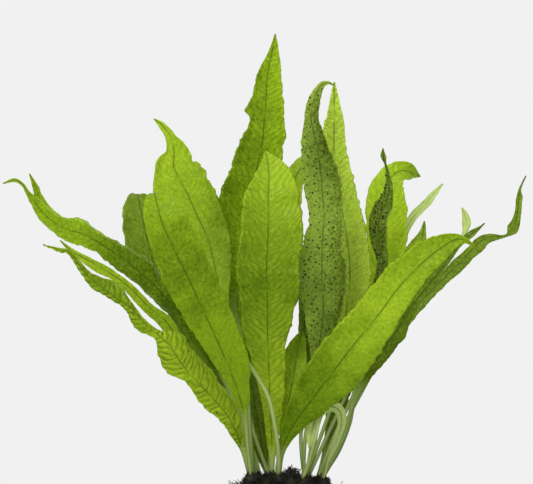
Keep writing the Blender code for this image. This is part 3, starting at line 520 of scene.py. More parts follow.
def rows_of(frond):
    """Evenly spaced rows: the rib's points, left and right half-widths, and share of the draft."""
    draft = smooth_curve(np.array(frond.stations, float), SPAN_STEPS)
    share = np.linspace(0, 1, len(draft))
    points = on_sight_line(draft[:, :3])
    lengths = np.concatenate([[0], np.cumsum(np.linalg.norm(np.diff(points, axis=0), axis=1))])
    along = np.linspace(0, lengths[-1], max(12, round(lengths[-1] / ROW)))
    held = np.column_stack([points, draft[:, 3:], share, draft[:, 2]])
    columns = [np.interp(along, lengths, column) for column in held.T]
    return along, np.stack(columns[:3], 1), *columns[3:]


def carried_frames(points, start):
    """The tangent of each row and the way the band faces there, carried from start with no twist."""
    steps = np.gradient(points, axis=0)
    tangents = [Vector(step).normalized() for step in steps]
    normals = [None] * len(points)
    front = Vector((0, -1, 0))
    normals[start] = (front - tangents[start] * front.dot(tangents[start])).normalized()
    for step, stop in ((1, len(points)), (-1, -1)):
        for i in range(start + step, stop, step):
            swing = tangents[i - step].rotation_difference(tangents[i])
            normals[i] = (swing @ normals[i - step]).normalized()
    return tangents, normals


print("one row every", ROW, "mm")

# %% The section of a blade
SHARES = 12  # columns from the rib to each edge
STALK_WIDTH = 1.1  # up to this half-width a frond is all stalk, mm
BLADE_WIDTH = 3.0  # from this half-width on, a frond is all blade, mm
FOLD = math.radians(10)
RIB_HALF = 0.5  # half the thickness at the rib, mm
EDGE_HALF = 0.1  # half the thickness at the edge, mm


def section(left, right, flat, curl):
    """One closed section: how far across, how high, and how near the edge each point is."""
    k = np.arange(-SHARES, SHARES + 1)
    half = np.where(k < 0, left, right)
    inner = np.minimum(0.9, 0.35 * half)
    beyond = inner + (half - inner) * (np.abs(k) - 2) / (SHARES - 2)
    blade = np.sign(k) * np.where(np.abs(k) <= 2, inner * np.abs(k) / 2, beyond)
    bow = k / SHARES * math.pi / 2
    across = blade * flat + np.sin(bow) * half * (1 - flat)
    width = (left + right) / 2
    rib = RIB_HALF * min(1, 0.35 + width / 12)
    thin = EDGE_HALF * (1.6 - 0.6 * np.abs(k) / SHARES) + rib * np.exp(-((blade / 0.55) ** 2))
    thin = np.where(np.abs(k) == SHARES, 0, thin)
    lift = thin * flat + np.cos(bow) * min(width, STALK_WIDTH) * (1 - flat)
    rise = np.where(k < 0, curl[0], curl[1]) * half * np.clip((np.abs(k) / SHARES - 0.55) / 0.45, 0, 1) ** 2
    fold = (np.abs(across) * math.sin(FOLD) + rise) * flat
    top = np.stack([across, fold + lift, across / half], 1)
    under = np.stack([across, fold - lift, across / half], 1)[1:-1][::-1]
    return np.concatenate([top, under])


print("a blade section has", 4 * SHARES, "points")


# %% The closed skin of a frond
def skin_through(name, rows):
    """A closed mesh through rows of points in mm, with one point added at each end."""
    count = rows.shape[1]
    ends = [rows[0].mean(0), rows[-1].mean(0)]
    places = np.concatenate([rows.reshape(-1, 3), ends]) * MM
    a = np.arange(count)
    b = (a + 1) % count
    faces = []
    for i in range(len(rows) - 1):
        low, high = i * count, (i + 1) * count
        faces += np.stack([low + a, low + b, high + b, high + a], 1).tolist()
    foot, tip, last = len(places) - 2, len(places) - 1, (len(rows) - 1) * count
    faces += [(foot, int(q), int(p)) for p, q in zip(a, b)]
    faces += [(tip, last + int(p), last + int(q)) for p, q in zip(a, b)]
    mesh = bpy.data.meshes.new(name)
    mesh.from_pydata(places.tolist(), [], faces)
    return mesh


def plain_blade(frond):
    """The closed skin of a frond before its veins and ruffles, with what its finish needs."""
    along, points, left, right, share, depth = rows_of(frond)
    start = int(np.argmax(left + right))
    tangents, normals = carried_frames(points, start)
    turns = np.interp(share, np.linspace(0, 1, len(frond.turn)), frond.turn)
    # painted shade and light along the blade, mixed with its own tone
    shades = np.interp(share, np.linspace(0, 1, len(frond.shade)), frond.shade)
    reach = 1 + depth / VIEW_DISTANCE
    foot = np.clip(1 - np.maximum(left, right) / 3, 0, 1) * (np.arange(len(left)) < start)
    left, right = left + 0.1 * foot, right + 0.1 * foot
    flat = np.clip(((left + right) / 2 - STALK_WIDTH) / (BLADE_WIDTH - STALK_WIDTH), 0, 1)
    flat = np.maximum.accumulate(flat)
    rows, held = [], {"blade": [], "face": [], "side": [], "shade": [], "flat": [], "quilt": []}
    for i, point in enumerate(points):
        normal = Quaternion(tangents[i], math.radians(-turns[i])) @ normals[i]
        side = tangents[i].cross(normal).normalized()
        ring = section(left[i] * reach[i], right[i] * reach[i], flat[i], frond.curl)
        rows.append(point + np.outer(ring[:, 0], side) + np.outer(ring[:, 1], normal))
        count = len(ring)
        held["blade"].append(np.column_stack([ring[:, 0], np.full(count, along[i]), ring[:, 2]]))
        held["face"].append(np.tile(normal, (count, 1)))
        held["side"].append(np.tile(side, (count, 1)))
        # painted shade and light: one half of the blade is painted lighter, the other darker
        held["shade"].append(shades[i] + frond.lean * ring[:, 2])
        held["quilt"].append(np.full(count, frond.quilt))
        held["flat"].append(np.full(count, flat[i]))
    mesh = skin_through(frond.name + "_blade", np.array(rows))
    for key, values in held.items():
        values = np.concatenate(values)
        values = np.concatenate([values, values[:1], values[-1:]])
        kind = "FLOAT_VECTOR" if values.ndim == 2 else "FLOAT"
        attribute = mesh.attributes.new(key, kind, "POINT")
        attribute.data.foreach_set("vector" if values.ndim == 2 else "value", values.ravel())
    mesh.shade_smooth()
    return mesh


print("rows along", FRONDS[0].name + ":", len(rows_of(FRONDS[0])[0]))

# %% [markdown]
# ## From a tree to a plain mesh
#
# What repeats on this plant, such as veins, spore heaps and roots, follows a rule, so Geometry
# Nodes make it. Every tree has a mesh, its sizes in mm and a finish as named inputs, and ends in
# plain geometry that wears the finish. A modifier would go on changing its piece, so each result
# is copied to a mesh of its own and the modifier is taken off.


# %% Starting, ending and using a tree
def shape_tree(name, **sizes):
    """A tree with a mesh, sizes and a finish as inputs, and those inputs by name."""
    tree = bpy.data.node_groups.new(name, "GeometryNodeTree")
    tree.interface.new_socket("Geometry", in_out="INPUT", socket_type="NodeSocketGeometry")
    for title, value in sizes.items():
        kind = "NodeSocketInt" if isinstance(value, int) else "NodeSocketFloat"
        socket = tree.interface.new_socket(title.replace("_", " "), in_out="INPUT", socket_type=kind)
        socket.default_value = value
    tree.interface.new_socket("Finish", in_out="INPUT", socket_type="NodeSocketMaterial")
    tree.interface.new_socket("Geometry", in_out="OUTPUT", socket_type="NodeSocketGeometry")
    inlet = tree.nodes.new("NodeGroupInput")
    return tree, {socket.name: socket for socket in inlet.outputs}


def end_tree(tree, shape, finish):
    """Ends a tree with plain geometry that wears its finish."""
    realized = add(tree, "GeometryNodeRealizeInstances", shape)
    coated = add(tree, "GeometryNodeSetMaterial", inputs={"Geometry": realized, "Material": finish})
    add(tree, "NodeGroupOutput", coated)
    print(tree.name + ":", len(tree.nodes), "nodes")


def grown(name, mesh, tree, **values):
    """A new object with mesh shaped by tree, as a plain mesh with no modifier left on it."""
    base = bpy.data.objects.new(name + "_base", mesh)
    scene.collection.objects.link(base)
    modifier = base.modifiers.new("shape", "NODES")
    modifier.node_group = tree
    sockets = {item.name: item.identifier for item in tree.interface.items_tree if item.in_out == "INPUT"}
    for title, value in values.items():
        modifier[sockets[title.replace("_", " ")]] = value
    graph = bpy.context.evaluated_depsgraph_get()
    shaped = base.evaluated_get(graph)
    plain = bpy.data.meshes.new_from_object(shaped, preserve_all_data_layers=True, depsgraph=graph)
    base.modifiers.remove(modifier)
    bpy.data.objects.remove(base)
    plain.name = name
    obj = bpy.data.objects.new(name, plain)
    scene.collection.objects.link(obj)
    return obj


# %% [markdown]
# ## Veins and ruffles
#
# Side veins leave a java fern's rib every few millimetres and curve up towards the edge. The
# blade swells between them, so each vein lies in a shallow crease, and the edge, which grows
# faster than the rib, waves. Modelling each crease by hand would take days. As it is a rule, a
# tree makes it: it works out how many veins lie below each point, moves the point along the
# blade's own facing, and keeps the vein count for the finish, so that a drawn vein always lies in
# its crease.

# %% The relief tree and its waves
relief, given = shape_tree(
    "blade_relief", Vein_spacing_mm=3.6, Swell_mm=0.35, Ruffle_mm=1.0, Ruffle_length_mm=16.0,
    Notch_mm=0.5, Blister_mm=0.15, Seed=0.0,
)
blade = add(relief, "GeometryNodeInputNamedAttribute", "blade", data_type="FLOAT_VECTOR")
flat = add(relief, "GeometryNodeInputNamedAttribute", "flat", data_type="FLOAT")
across, along, edge = add(relief, "ShaderNodeSeparateXYZ", blade, out=None)
width = add(relief, "ABSOLUTE", across)
rim = add(relief, "ABSOLUTE", edge)
which = add(relief, "SIGN", across)
# each half of each blade reads its own stretch of the noise
half_shift = add(relief, "MULTIPLY", which, 500)
half_shift = add(relief, "MULTIPLY_ADD", given["Seed"], 37.3, half_shift)
half_along = add(relief, "ADD", along, half_shift)
blade_along = add(relief, "MULTIPLY_ADD", given["Seed"], 91.7, along)
ruffle_scale = add(relief, "DIVIDE", 1, given["Ruffle length mm"])
waves = {}
for title, place, scale, detail in (
    ("drift", half_along, 0.045, 1.0), ("wander", half_along, 0.19, 1.0),
    ("ruffle", half_along, ruffle_scale, 2.0), ("sway", blade_along, 0.03, 1.0),
    ("twist", blade_along, 0.022, 1.0), ("teeth", half_along, 0.3, 2.0), ("lobes", half_along, 0.11, 2.0),
):
    ripple = add(relief, "ShaderNodeTexNoise", place, scale, detail, noise_dimensions="1D")
    waves[title] = add(relief, "MULTIPLY_ADD", ripple, 4, -2)
print("waves of a blade:", ", ".join(waves))

# %% Counting the veins, and the swell between two of them
climb = add(relief, "MULTIPLY_ADD", width, 0.025, 0.6)  # a vein climbs 0.6 mm a millimetre, then more
climb = add(relief, "MULTIPLY", width, climb)
level = add(relief, "SUBTRACT", along, climb)
level = add(relief, "DIVIDE", level, given["Vein spacing mm"])
drift = add(relief, "MULTIPLY", waves["drift"], 0.7)
drift = add(relief, "MULTIPLY_ADD", waves["wander"], 0.4, drift)
stagger = add(relief, "MULTIPLY", which, 0.25)  # left and right veins leave the rib by turns
veins = add(relief, "ADD", add(relief, "ADD", level, drift), stagger)
swell = add(relief, "SINE", add(relief, "MULTIPLY", veins, math.pi))
swell = add(relief, "POWER", add(relief, "ABSOLUTE", swell), 0.7)
between = add(relief, "MULTIPLY", rim, add(relief, "SUBTRACT", 1.05, rim))
between = add(relief, "MINIMUM", between, 0.2)
swell = add(relief, "MULTIPLY", add(relief, "SUBTRACT", swell, 0.5), between)
swell = add(relief, "MULTIPLY", add(relief, "MULTIPLY", swell, 5), given["Swell mm"])
pucker = add(relief, "ShaderNodeTexNoise", blade, 0.42, 2.0)
pucker = add(relief, "MULTIPLY", add(relief, "MULTIPLY_ADD", pucker, 4, -2), given["Blister mm"])
print("a vein every 3.6 mm, and the swell between two")

# %% Ruffles, and the notches of the edge
room_to_wave = add(relief, "MINIMUM", add(relief, "DIVIDE", width, 10), 1)
ruffle = add(relief, "MULTIPLY", waves["ruffle"], given["Ruffle mm"])
ruffle = add(relief, "MULTIPLY", ruffle, add(relief, "POWER", rim, 2.2))
ruffle = add(relief, "MULTIPLY", ruffle, room_to_wave)
sway = add(relief, "MULTIPLY", waves["sway"], 0.7)
twist = add(relief, "MULTIPLY", waves["twist"], add(relief, "MULTIPLY", across, 0.09))
lift = add(relief, "ADD", add(relief, "ADD", swell, ruffle), add(relief, "ADD", sway, twist))
lift = add(relief, "ADD", lift, pucker)
scallop = add(relief, "MULTIPLY_ADD", waves["teeth"], 0.9, waves["lobes"])
scallop = add(relief, "MULTIPLY", scallop, given["Notch mm"])
scallop = add(relief, "MULTIPLY", scallop, add(relief, "POWER", rim, 5))
scallop = add(relief, "MULTIPLY", scallop, add(relief, "MULTIPLY", which, room_to_wave))
moves = []
for title, reach in (("face", lift), ("side", scallop)):
    way = add(relief, "GeometryNodeInputNamedAttribute", title, data_type="FLOAT_VECTOR")
    reach = add(relief, "MULTIPLY", add(relief, "MULTIPLY", reach, flat), MM)
    moves.append(add(relief, "ShaderNodeVectorMath:SCALE", way, inputs={"Scale": reach}))
shift = add(relief, "ShaderNodeVectorMath:ADD", *moves)
moved = add(relief, "GeometryNodeSetPosition", inputs={"Geometry": given["Geometry"], "Offset": shift})
counted = add(
    relief, "GeometryNodeStoreNamedAttribute", inputs={"Geometry": moved, "Name": "veins", "Value": veins},
    data_type="FLOAT", domain="POINT",
)
end_tree(relief, counted, given["Finish"])

# %% [markdown]
# ## The finish of a living blade
#
# A fern blade is a thin, waxy, translucent skin. Part of the light that falls on it comes back
# from its surface, and part goes through, yellower than it came, so that one blade in front of
# another looks darker than one alone. The finish mixes a Principled surface, for the wax and the
# green of the surface, with a Translucent one for the light that comes through. The skin is
# closed, so light crosses it twice, and `thin_leaf` works out how strong both must be to give
# the wanted colour.

# %% Light through a closed skin
THROUGH = 0.6  # the share of the surface that lets light through
LIT_WHOLE = 0.78  # the studio is brighter than plain white, so a blade needs less of its colour
GOES_THROUGH = 0.42  # the share of a blade's light that comes from behind it


def thin_leaf(hex_colour):
    """Surface and through colours of each skin, for a blade that looks hex_colour."""
    surface, through = [], []
    for value in linear(hex_colour)[:3]:
        whole = min(value * LIT_WHOLE, 0.95)
        passed = whole * GOES_THROUGH
        r = (whole - passed) / (1 + passed)
        t = math.sqrt(max(passed * (1 - r * r), 0))
        surface.append(min(r / (1 - THROUGH), 0.98))
        through.append(min(t / THROUGH, 0.98))
    return (*surface, 1), (*through, 1)


print("surface and through:", [[round(part, 2) for part in side] for side in thin_leaf("#B0D22C")])


# %% [markdown]
# ## What a finish reads from a blade
#
# A pattern on Object coordinates would not bend with the blade. The sweep kept each point's place
# on the flattened blade in mm, and the relief tree kept the vein count, so the patterns lie on the
# blade as if it were still flat. Old blades are patchy: paler and deeper areas a centimetre across,
# and mottling 2 mm across. The thin edge is painted lighter, a painted glow, and the creases are
# painted darker than the ridges between them, as painted shade.


# %% Places and noises on a blade
def blade_facts(tree):
    """The values that a point of a blade carries, and two noises laid out on the flat blade."""
    here = add(tree, "ShaderNodeAttribute", attribute_name="blade", out=1)
    shade, veins, flat, quilt = (
        add(tree, "ShaderNodeAttribute", attribute_name=name, out=2)
        for name in ("shade", "veins", "flat", "quilt")
    )
    across, _, edge = add(tree, "ShaderNodeSeparateXYZ", here, out=None)
    return SimpleNamespace(
        here=here, shade=shade, flat=flat, quilt=quilt,
        width=add(tree, "ABSOLUTE", across), rim=add(tree, "ABSOLUTE", edge),
        near_vein=add(tree, "PINGPONG", veins, 0.5),
        patches=add(tree, "ShaderNodeTexNoise", here, 0.08, 2.0),  # 12 mm across
        mottle=add(tree, "ShaderNodeTexNoise", here, 0.6, 3.0),  # 2 mm across
    )


def tint_of(tree, at):
    """How light each point is, from 0 deep to 1 light, with painted shade and painted light in it."""
    # the shade values carry painted shade and painted light along the blade
    tint = add(tree, "MULTIPLY_ADD", add(tree, "SUBTRACT", at.patches, 0.5), 0.8, at.shade)
    tint = add(tree, "MULTIPLY_ADD", add(tree, "SUBTRACT", at.mottle, 0.5), 1.2, tint)
    # painted glow: the thin edge of the blade is painted lighter, as if light came through it
    painted_edge_glow = add(tree, "ShaderNodeMapRange", at.rim, 0.9, 1.0, 0, 0.5)
    tint = add(tree, "ADD", tint, add(tree, "MULTIPLY", painted_edge_glow, at.flat))
    # painted shade and light: darker in the creases over the veins, lighter on the ridges between them
    painted_crease_shade = add(tree, "ShaderNodeMapRange", at.near_vein, 0.0, 0.5, -0.1, 0.1)
    return add(tree, "MULTIPLY_ADD", painted_crease_shade, at.quilt, tint)


print("patches 12 mm across, mottling 2 mm across")


# %% [markdown]
# ## The dark lines of a blade
#
# The veins carry little green, so they read as dark lines: side veins about 0.5 mm wide, a fine net
# between them, and the rib. The creases over the side veins catch less light, and their line is
# also painted darker for that, as painted shade. None of them is even along its length, so the same
# noises fade them in and out. On the stalk only its two flanks are painted darker, as painted shade
# that makes it look round.


# %% Veins, net, rib and flanks
def fine_net(tree, at):
    """1 on the net of fine veins with meshes 2 mm across, 0 between them."""
    cell = add(tree, "ShaderNodeTexVoronoi", at.here, 0.55, feature="DISTANCE_TO_EDGE")
    return add(tree, "ShaderNodeMapRange", cell, 0.0, 0.16, 1, 0)


def dark_lines(tree, at, net, vein, mesh, stalkness):
    """How far each point is darkened, partly as painted shade; vein and mesh are the strengths of the veins
    and the net.
    """
    # side veins: their own darker colour and painted shade of the creases over them
    line = add(tree, "ShaderNodeMapRange", at.near_vein, 0.0, 0.32, 1, 0)
    line = add(tree, "MULTIPLY", line, add(tree, "ShaderNodeMapRange", at.mottle, 0.35, 0.65, 0.1, 1.2))
    line = add(tree, "MULTIPLY", line, add(tree, "ShaderNodeMapRange", at.patches, 0.4, 0.6, 0.1, 1.4))
    rib = add(tree, "MULTIPLY", add(tree, "ShaderNodeMapRange", at.width, 0.12, 0.6, 1, 0), at.flat)
    rib = add(tree, "MULTIPLY", rib, add(tree, "ShaderNodeMapRange", at.patches, 0.36, 0.52, 0.3, 1.1))
    dark = add(tree, "MULTIPLY", line, add(tree, "MULTIPLY", at.quilt, vein))
    dark = add(tree, "MULTIPLY_ADD", net, mesh, dark)
    dark = add(tree, "MAXIMUM", dark, add(tree, "MULTIPLY", rib, 0.56))
    dark = add(tree, "MULTIPLY", dark, at.flat)
    # painted shade: the stalk's two flanks are painted darker so that it looks round
    painted_flank_shade = add(tree, "ShaderNodeMapRange", at.rim, 0.4, 1.0, 0, 0.6)
    return add(tree, "MULTIPLY_ADD", painted_flank_shade, stalkness, dark)


print("net meshes, mm:", round(1 / 0.55, 1))


# %% [markdown]
# ## One finish, six tones
#
# Young blades are pale, blades in full growth are bright, and old ones deep green. The spots that
# show through old blades are the shadows of spore heaps on the other side: round, soft at the
# edge, 1 mm wide. All six tones share one recipe. The wax gives a wide soft gloss, and the flesh
# glows where light is behind it.


# %% Blade finishes
def spotted(tree, at, spots, colours):
    """The colours with spore spots about 2 mm apart; there are more of them where spots is high."""
    dots = add(tree, "ShaderNodeTexVoronoi", at.here, 0.42, feature="F1")
    where = add(tree, "ShaderNodeTexNoise", at.here, 0.06, 1.0)
    size = add(tree, "MULTIPLY_ADD", where, spots, -0.12)
    mark = add(tree, "ShaderNodeMapRange", add(tree, "SUBTRACT", size, dots), -0.05, 0.06, 0, 0.85)
    mark = add(tree, "MULTIPLY", mark, at.flat)
    return [add(tree, "ShaderNodeMix", mark, c, linear("#23240F"), data_type="RGBA") for c in colours]


def blade_finish(name, deep, light, stalk, vein=0.3, mesh=0.12, spots=None):
    """A living blade, deep to light green, with its own strength of veins, net and spots."""
    made, tree = new_material(name)
    at = blade_facts(tree)
    tint = tint_of(tree, at)
    net = fine_net(tree, at)
    stalkness = add(tree, "SUBTRACT", 1, at.flat)
    dark = dark_lines(tree, at, net, vein, mesh, stalkness)
    colours = []
    for low, high, foot in zip(thin_leaf(deep), thin_leaf(light), thin_leaf(stalk)):
        blend = add(tree, "ShaderNodeMix", tint, low, high, data_type="RGBA")
        blend = add(tree, "ShaderNodeMix", stalkness, blend, foot, data_type="RGBA")
        colours.append(add(tree, "ShaderNodeMix", dark, blend, (0.02, 0.035, 0.002, 1), data_type="RGBA"))
    if spots:
        colours = spotted(tree, at, spots, colours)
    rough = add(tree, "ShaderNodeMapRange", at.mottle, 0.3, 0.7, 0.38, 0.55)
    height = add(tree, "MULTIPLY_ADD", at.mottle, 0.6, add(tree, "MULTIPLY", net, -0.5))
    bump = add(tree, "ShaderNodeBump", inputs={"Strength": 0.35, "Distance": 0.00025, "Height": height})
    wax = add(tree, "ShaderNodeBsdfPrincipled", inputs={
        "Base Color": colours[0], "Roughness": rough, "IOR": 1.42, "Specular IOR Level": 0.14,
        "Normal": bump})
    glow = add(tree, "ShaderNodeBsdfTranslucent", inputs={"Color": colours[1], "Normal": bump})
    add(tree, "ShaderNodeOutputMaterial", add(tree, "ShaderNodeMixShader", THROUGH, wax, glow))
    return made


print("spore spots, mm apart:", round(1 / 0.42, 1))

# %% The six tones
TONES = {
    "pale": blade_finish("young_pale_blade", "#A1C04A", "#D6EB90", "#C8DE84", vein=0.15, mesh=0.05),
    # lit is a lighter copy of the bright green: painted light for blades that glow with light from behind
    "lit": blade_finish("painted_backlight_glow_blade", "#88AE14", "#C6E54C", "#C8DE84", vein=0.25, mesh=0.18),
    "bright": blade_finish("bright_blade", "#638508", "#B0D22C", "#C8DE84", vein=0.28),
    "fresh": blade_finish("fresh_blade", "#486506", "#9FC41F", "#BCD478", vein=0.28, mesh=0.16),
    "deep": blade_finish("deep_old_blade", "#3A5205", "#88A62C", "#A8C468", vein=0.25, mesh=0.2),
    "spotted": blade_finish(
        "spore_spotted_blade", "#3E5406", "#A2C046", "#A8C468", vein=0.25, mesh=0.16, spots=0.5
    ),
}
print("blade finishes:", ", ".join(TONES))

# %% [markdown]
# ## Growing the fronds
#
# Each blade is swept, given its relief and its finish, made a plain mesh, and put in place of its
# solid. Its seed comes from its place in the table, so a frond looks the same on every run.

# %% Grow every frond
blades = {}
for count, frond in enumerate(FRONDS):
    piece = grown(
        frond.name + "_leaf", plain_blade(frond), relief, Swell_mm=frond.quilt, Ruffle_mm=frond.ruffle,
        Notch_mm=0.6, Blister_mm=frond.blister, Seed=float(count + 1), Finish=TONES[frond.tone],
    )
    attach(piece, "root")
    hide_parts(frond.name)
    blades[frond.name] = piece
print(sum(len(b.data.polygons) for b in blades.values()), "faces in", len(blades), "blades")

# %% [markdown]
# ## Spore heaps
#
# On an old java fern blade the spores ripen in dark round heaps. They stand in rows between the
# side veins. Each is a dome of 0.5 to 1.4 mm, so they catch a little light at the side. Painted
# dots alone would look flat from the side, so a tree scatters small domes with a least distance
# between two, and only between the veins that the relief tree counted.

# %% The tree of the spore heaps
spore_tree, given = shape_tree("spore_heaps", Least_gap_mm=1.5, Heap_radius_mm=0.5, Seed=1)
blade = add(spore_tree, "GeometryNodeInputNamedAttribute", "blade", data_type="FLOAT_VECTOR")
veins = add(spore_tree, "GeometryNodeInputNamedAttribute", "veins", data_type="FLOAT")
across, _, edge = add(spore_tree, "ShaderNodeSeparateXYZ", blade, out=None)
off_vein = add(spore_tree, "GREATER_THAN", add(spore_tree, "PINGPONG", veins, 0.5), 0.2)
off_edge = add(spore_tree, "LESS_THAN", add(spore_tree, "ABSOLUTE", edge), 0.93)
off_rib = add(spore_tree, "GREATER_THAN", add(spore_tree, "ABSOLUTE", across), 1.0)
chosen = add(spore_tree, "MULTIPLY", off_vein, add(spore_tree, "MULTIPLY", off_edge, off_rib))
scattered = spore_tree.nodes.new("GeometryNodeDistributePointsOnFaces")
scattered.distribute_method = "POISSON"
for title, value in (
    ("Mesh", given["Geometry"]), ("Distance Min", add(spore_tree, "MULTIPLY", given["Least gap mm"], MM)),
    ("Density Factor", chosen), ("Seed", given["Seed"]),
):
    spore_tree.links.new(value, scattered.inputs[title])
scattered.inputs["Density Max"].default_value = 900000
radius = add(spore_tree, "MULTIPLY", given["Heap radius mm"], MM)
heap = add(spore_tree, "GeometryNodeMeshIcoSphere", radius, 2)
heap = add(spore_tree, "GeometryNodeTransform", inputs={"Geometry": heap, "Scale": (1, 1, 0.55)})
sizes = add(
    spore_tree, "FunctionNodeRandomValue", 0.55, 1.15, inputs={"Seed": given["Seed"]}, data_type="FLOAT"
)
placed = add(spore_tree, "GeometryNodeInstanceOnPoints", inputs={
    "Points": scattered.outputs["Points"], "Instance": heap, "Rotation": scattered.outputs["Rotation"],
    "Scale": sizes})
end_tree(spore_tree, placed, given["Finish"])

# %% Scatter the spore heaps
# ripe spores are a dry, dull powder in a brown cluster, so they have almost no gloss
ripe_spores, tree = new_material("ripe_brown_spores")
grains = add(tree, "ShaderNodeTexNoise", add(tree, "ShaderNodeTexCoord", out=3), 4000, 2.0)
colour = add(tree, "ShaderNodeMix", grains, linear("#1B1B0C"), linear("#33341A"), data_type="RGBA")
surface = add(tree, "ShaderNodeBsdfPrincipled", inputs={
    "Base Color": colour, "Roughness": 0.85, "Specular IOR Level": 0.15})
add(tree, "ShaderNodeOutputMaterial", surface)

HEAP_FACES = 80
for name, least_gap, heap_radius in (
    ("frond_spotted_wide", 2.0, 0.5), ("frond_spotted_narrow", 1.25, 0.6), ("frond_spotted_lobe", 2.2, 0.45),
):
    heaps = grown(name + "_spores", blades[name].data.copy(), spore_tree, Least_gap_mm=least_gap,
                  Heap_radius_mm=heap_radius, Seed=7, Finish=ripe_spores)
    heaps.data.shade_smooth()
    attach(heaps, "root")
    print(heaps.name, len(heaps.data.polygons) // HEAP_FACES, "heaps")

# %% [markdown]
# ## The creeping rhizomes
#
# A rhizome is a stem that creeps over the wood. It is as thick as a pencil lead holder, green
# under a coat of brown scales, and swells where each frond stands. A curve with a bevel would be
# too even, so each row of a sweep gets its own radius: a slow swelling, a ring every few
# millimetres, and fine lumps.


# %% A tube with its own radius at each point
def tube(name, rows, radius_at, sides=24):
    """A closed tube through rows of points in mm. radius_at(row, angle) is in mm."""
    tangents, normals = carried_frames(np.array(rows), 0)
    bm = bmesh.new()
    angles = [math.tau * k / sides for k in range(sides)]
    loops = []
    for i, row in enumerate(rows):
        side = tangents[i].cross(normals[i]).normalized()
        loop = []
        for angle in angles:
            reach = radius_at(i, angle)
            point = Vector(row) + (side * math.cos(angle) + normals[i] * math.sin(angle)) * reach
            loop.append(bm.verts.new(point * MM))
        loops.append(loop)
    for low, high in zip(loops, loops[1:]):
        for k in range(sides):
            j = (k + 1) % sides
            bm.faces.new((low[k], low[j], high[j], high[k]))
    for loop, row in ((loops[0], rows[0]), (loops[-1], rows[-1])):
        centre = bm.verts.new(Vector(row) * MM)
        for k in range(sides):
            bm.faces.new((loop[k], loop[(k + 1) % sides], centre))
    bmesh.ops.recalc_face_normals(bm, faces=bm.faces)
    mesh = bpy.data.meshes.new(name)
    bm.to_mesh(mesh)
    bm.free()
    mesh.shade_smooth()
    return mesh


def shown(name, mesh, material, slot, *nodes):
    """A finished piece that rides on the plant and stands for its solids."""
    mesh.materials.clear()
    mesh.materials.append(material)
    piece = bpy.data.objects.new(name, mesh)
    scene.collection.objects.link(piece)
    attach(piece, "root")
    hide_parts(*nodes)
    return piece


def rough_finish(name, colour_of, roughness, specular, strength, depth_mm):
    """A rough natural skin. colour_of(tree) gives its colour and the height of its bumps."""
    made, tree = new_material(name)
    colour, height = colour_of(tree)
    bump = add(tree, "ShaderNodeBump", inputs={
        "Strength": strength, "Distance": depth_mm * MM, "Height": height})
    surface = add(tree, "ShaderNodeBsdfPrincipled", inputs={
        "Base Color": colour, "Roughness": roughness, "Specular IOR Level": specular, "Normal": bump})
    add(tree, "ShaderNodeOutputMaterial", surface)
    return made


print("a tube has 24 sides")


# %% The skin of a rhizome
def scaly(tree):
    """Overlapping brown scales 1.1 mm across over a dark stem with stains 4 mm across."""
    place = add(tree, "ShaderNodeTexCoord", out=3)
    scales = add(tree, "ShaderNodeTexVoronoi", place, 900, feature="F1")
    stains = add(tree, "ShaderNodeTexNoise", place, 260, 3.0)
    fleshy = add(tree, "ShaderNodeMix", stains, linear("#14130A"), linear("#2B2A16"), data_type="RGBA")
    return add(tree, "ShaderNodeMix", scales, fleshy, linear("#15110A"), data_type="RGBA"), scales


rhizome_skin = rough_finish("scaly_rhizome_skin", scaly, 0.62, 0.3, 0.6, 0.4)
print("finish:", rhizome_skin.name)

# %% Make the rhizomes
RHIZOME_RADIUS = 2.9
RHIZOMES = {
    "rhizome_left_outer": (5.0, ((-9.5, -17), (-8.5, -8), (-6.6, 1), (-5.6, 9), (-4, 20))),
    "rhizome_left_inner": (5.0, ((7, -18), (5.4, -9), (2.2, 0), (1.6, 8), (3, 17))),
    "rhizome_right_inner": (3.0, ((19.5, -16), (20.4, -7), (21.4, 2), (22.4, 9), (23.4, 18))),
    "rhizome_right_outer": (3.0, ((31.6, -10), (30.5, -2), (29.4, 6), (28.4, 15))),
}
rhizome_pieces = []
for name, (painted_crease_shade, line) in RHIZOMES.items():
    axis = on_sight_line(np.array([(x, painted_crease_shade - RHIZOME_RADIUS, y) for x, y in line], float))
    rows = smooth_curve(axis, 14)
    last = len(rows) - 1
    shift = len(name) * 1.7

    def knobbly(i, angle):
        end = min(1, 0.45 + 0.2 * min(i, last - i))
        ring = 0.05 * math.cos(i * 0.9) + 0.05 * math.cos(2 * angle + shift)
        lump = 0.1 * noise.noise(Vector((math.cos(angle) * 1.4, math.sin(angle) * 1.4, i * 0.2 + shift)))
        return RHIZOME_RADIUS * end * (0.96 + ring + lump)

    stem = tube(name + "_stem", rows, knobbly)
    rhizome_pieces.append(shown(name + "_stem", stem, rhizome_skin, "rhizome", name))
print(len(rhizome_pieces), "rhizomes")

# %% [markdown]
# ## Driftwood
#
# Driftwood has lost its bark and soft wood to water and sand. What is left follows the grain:
# long flutes, drying cracks and rounded ends. Sculpting would do, but a rule is quicker to
# change. The limbs are swept first, cut level where they stand, and melted into one body with a
# voxel remesh, because real forks have no seam.

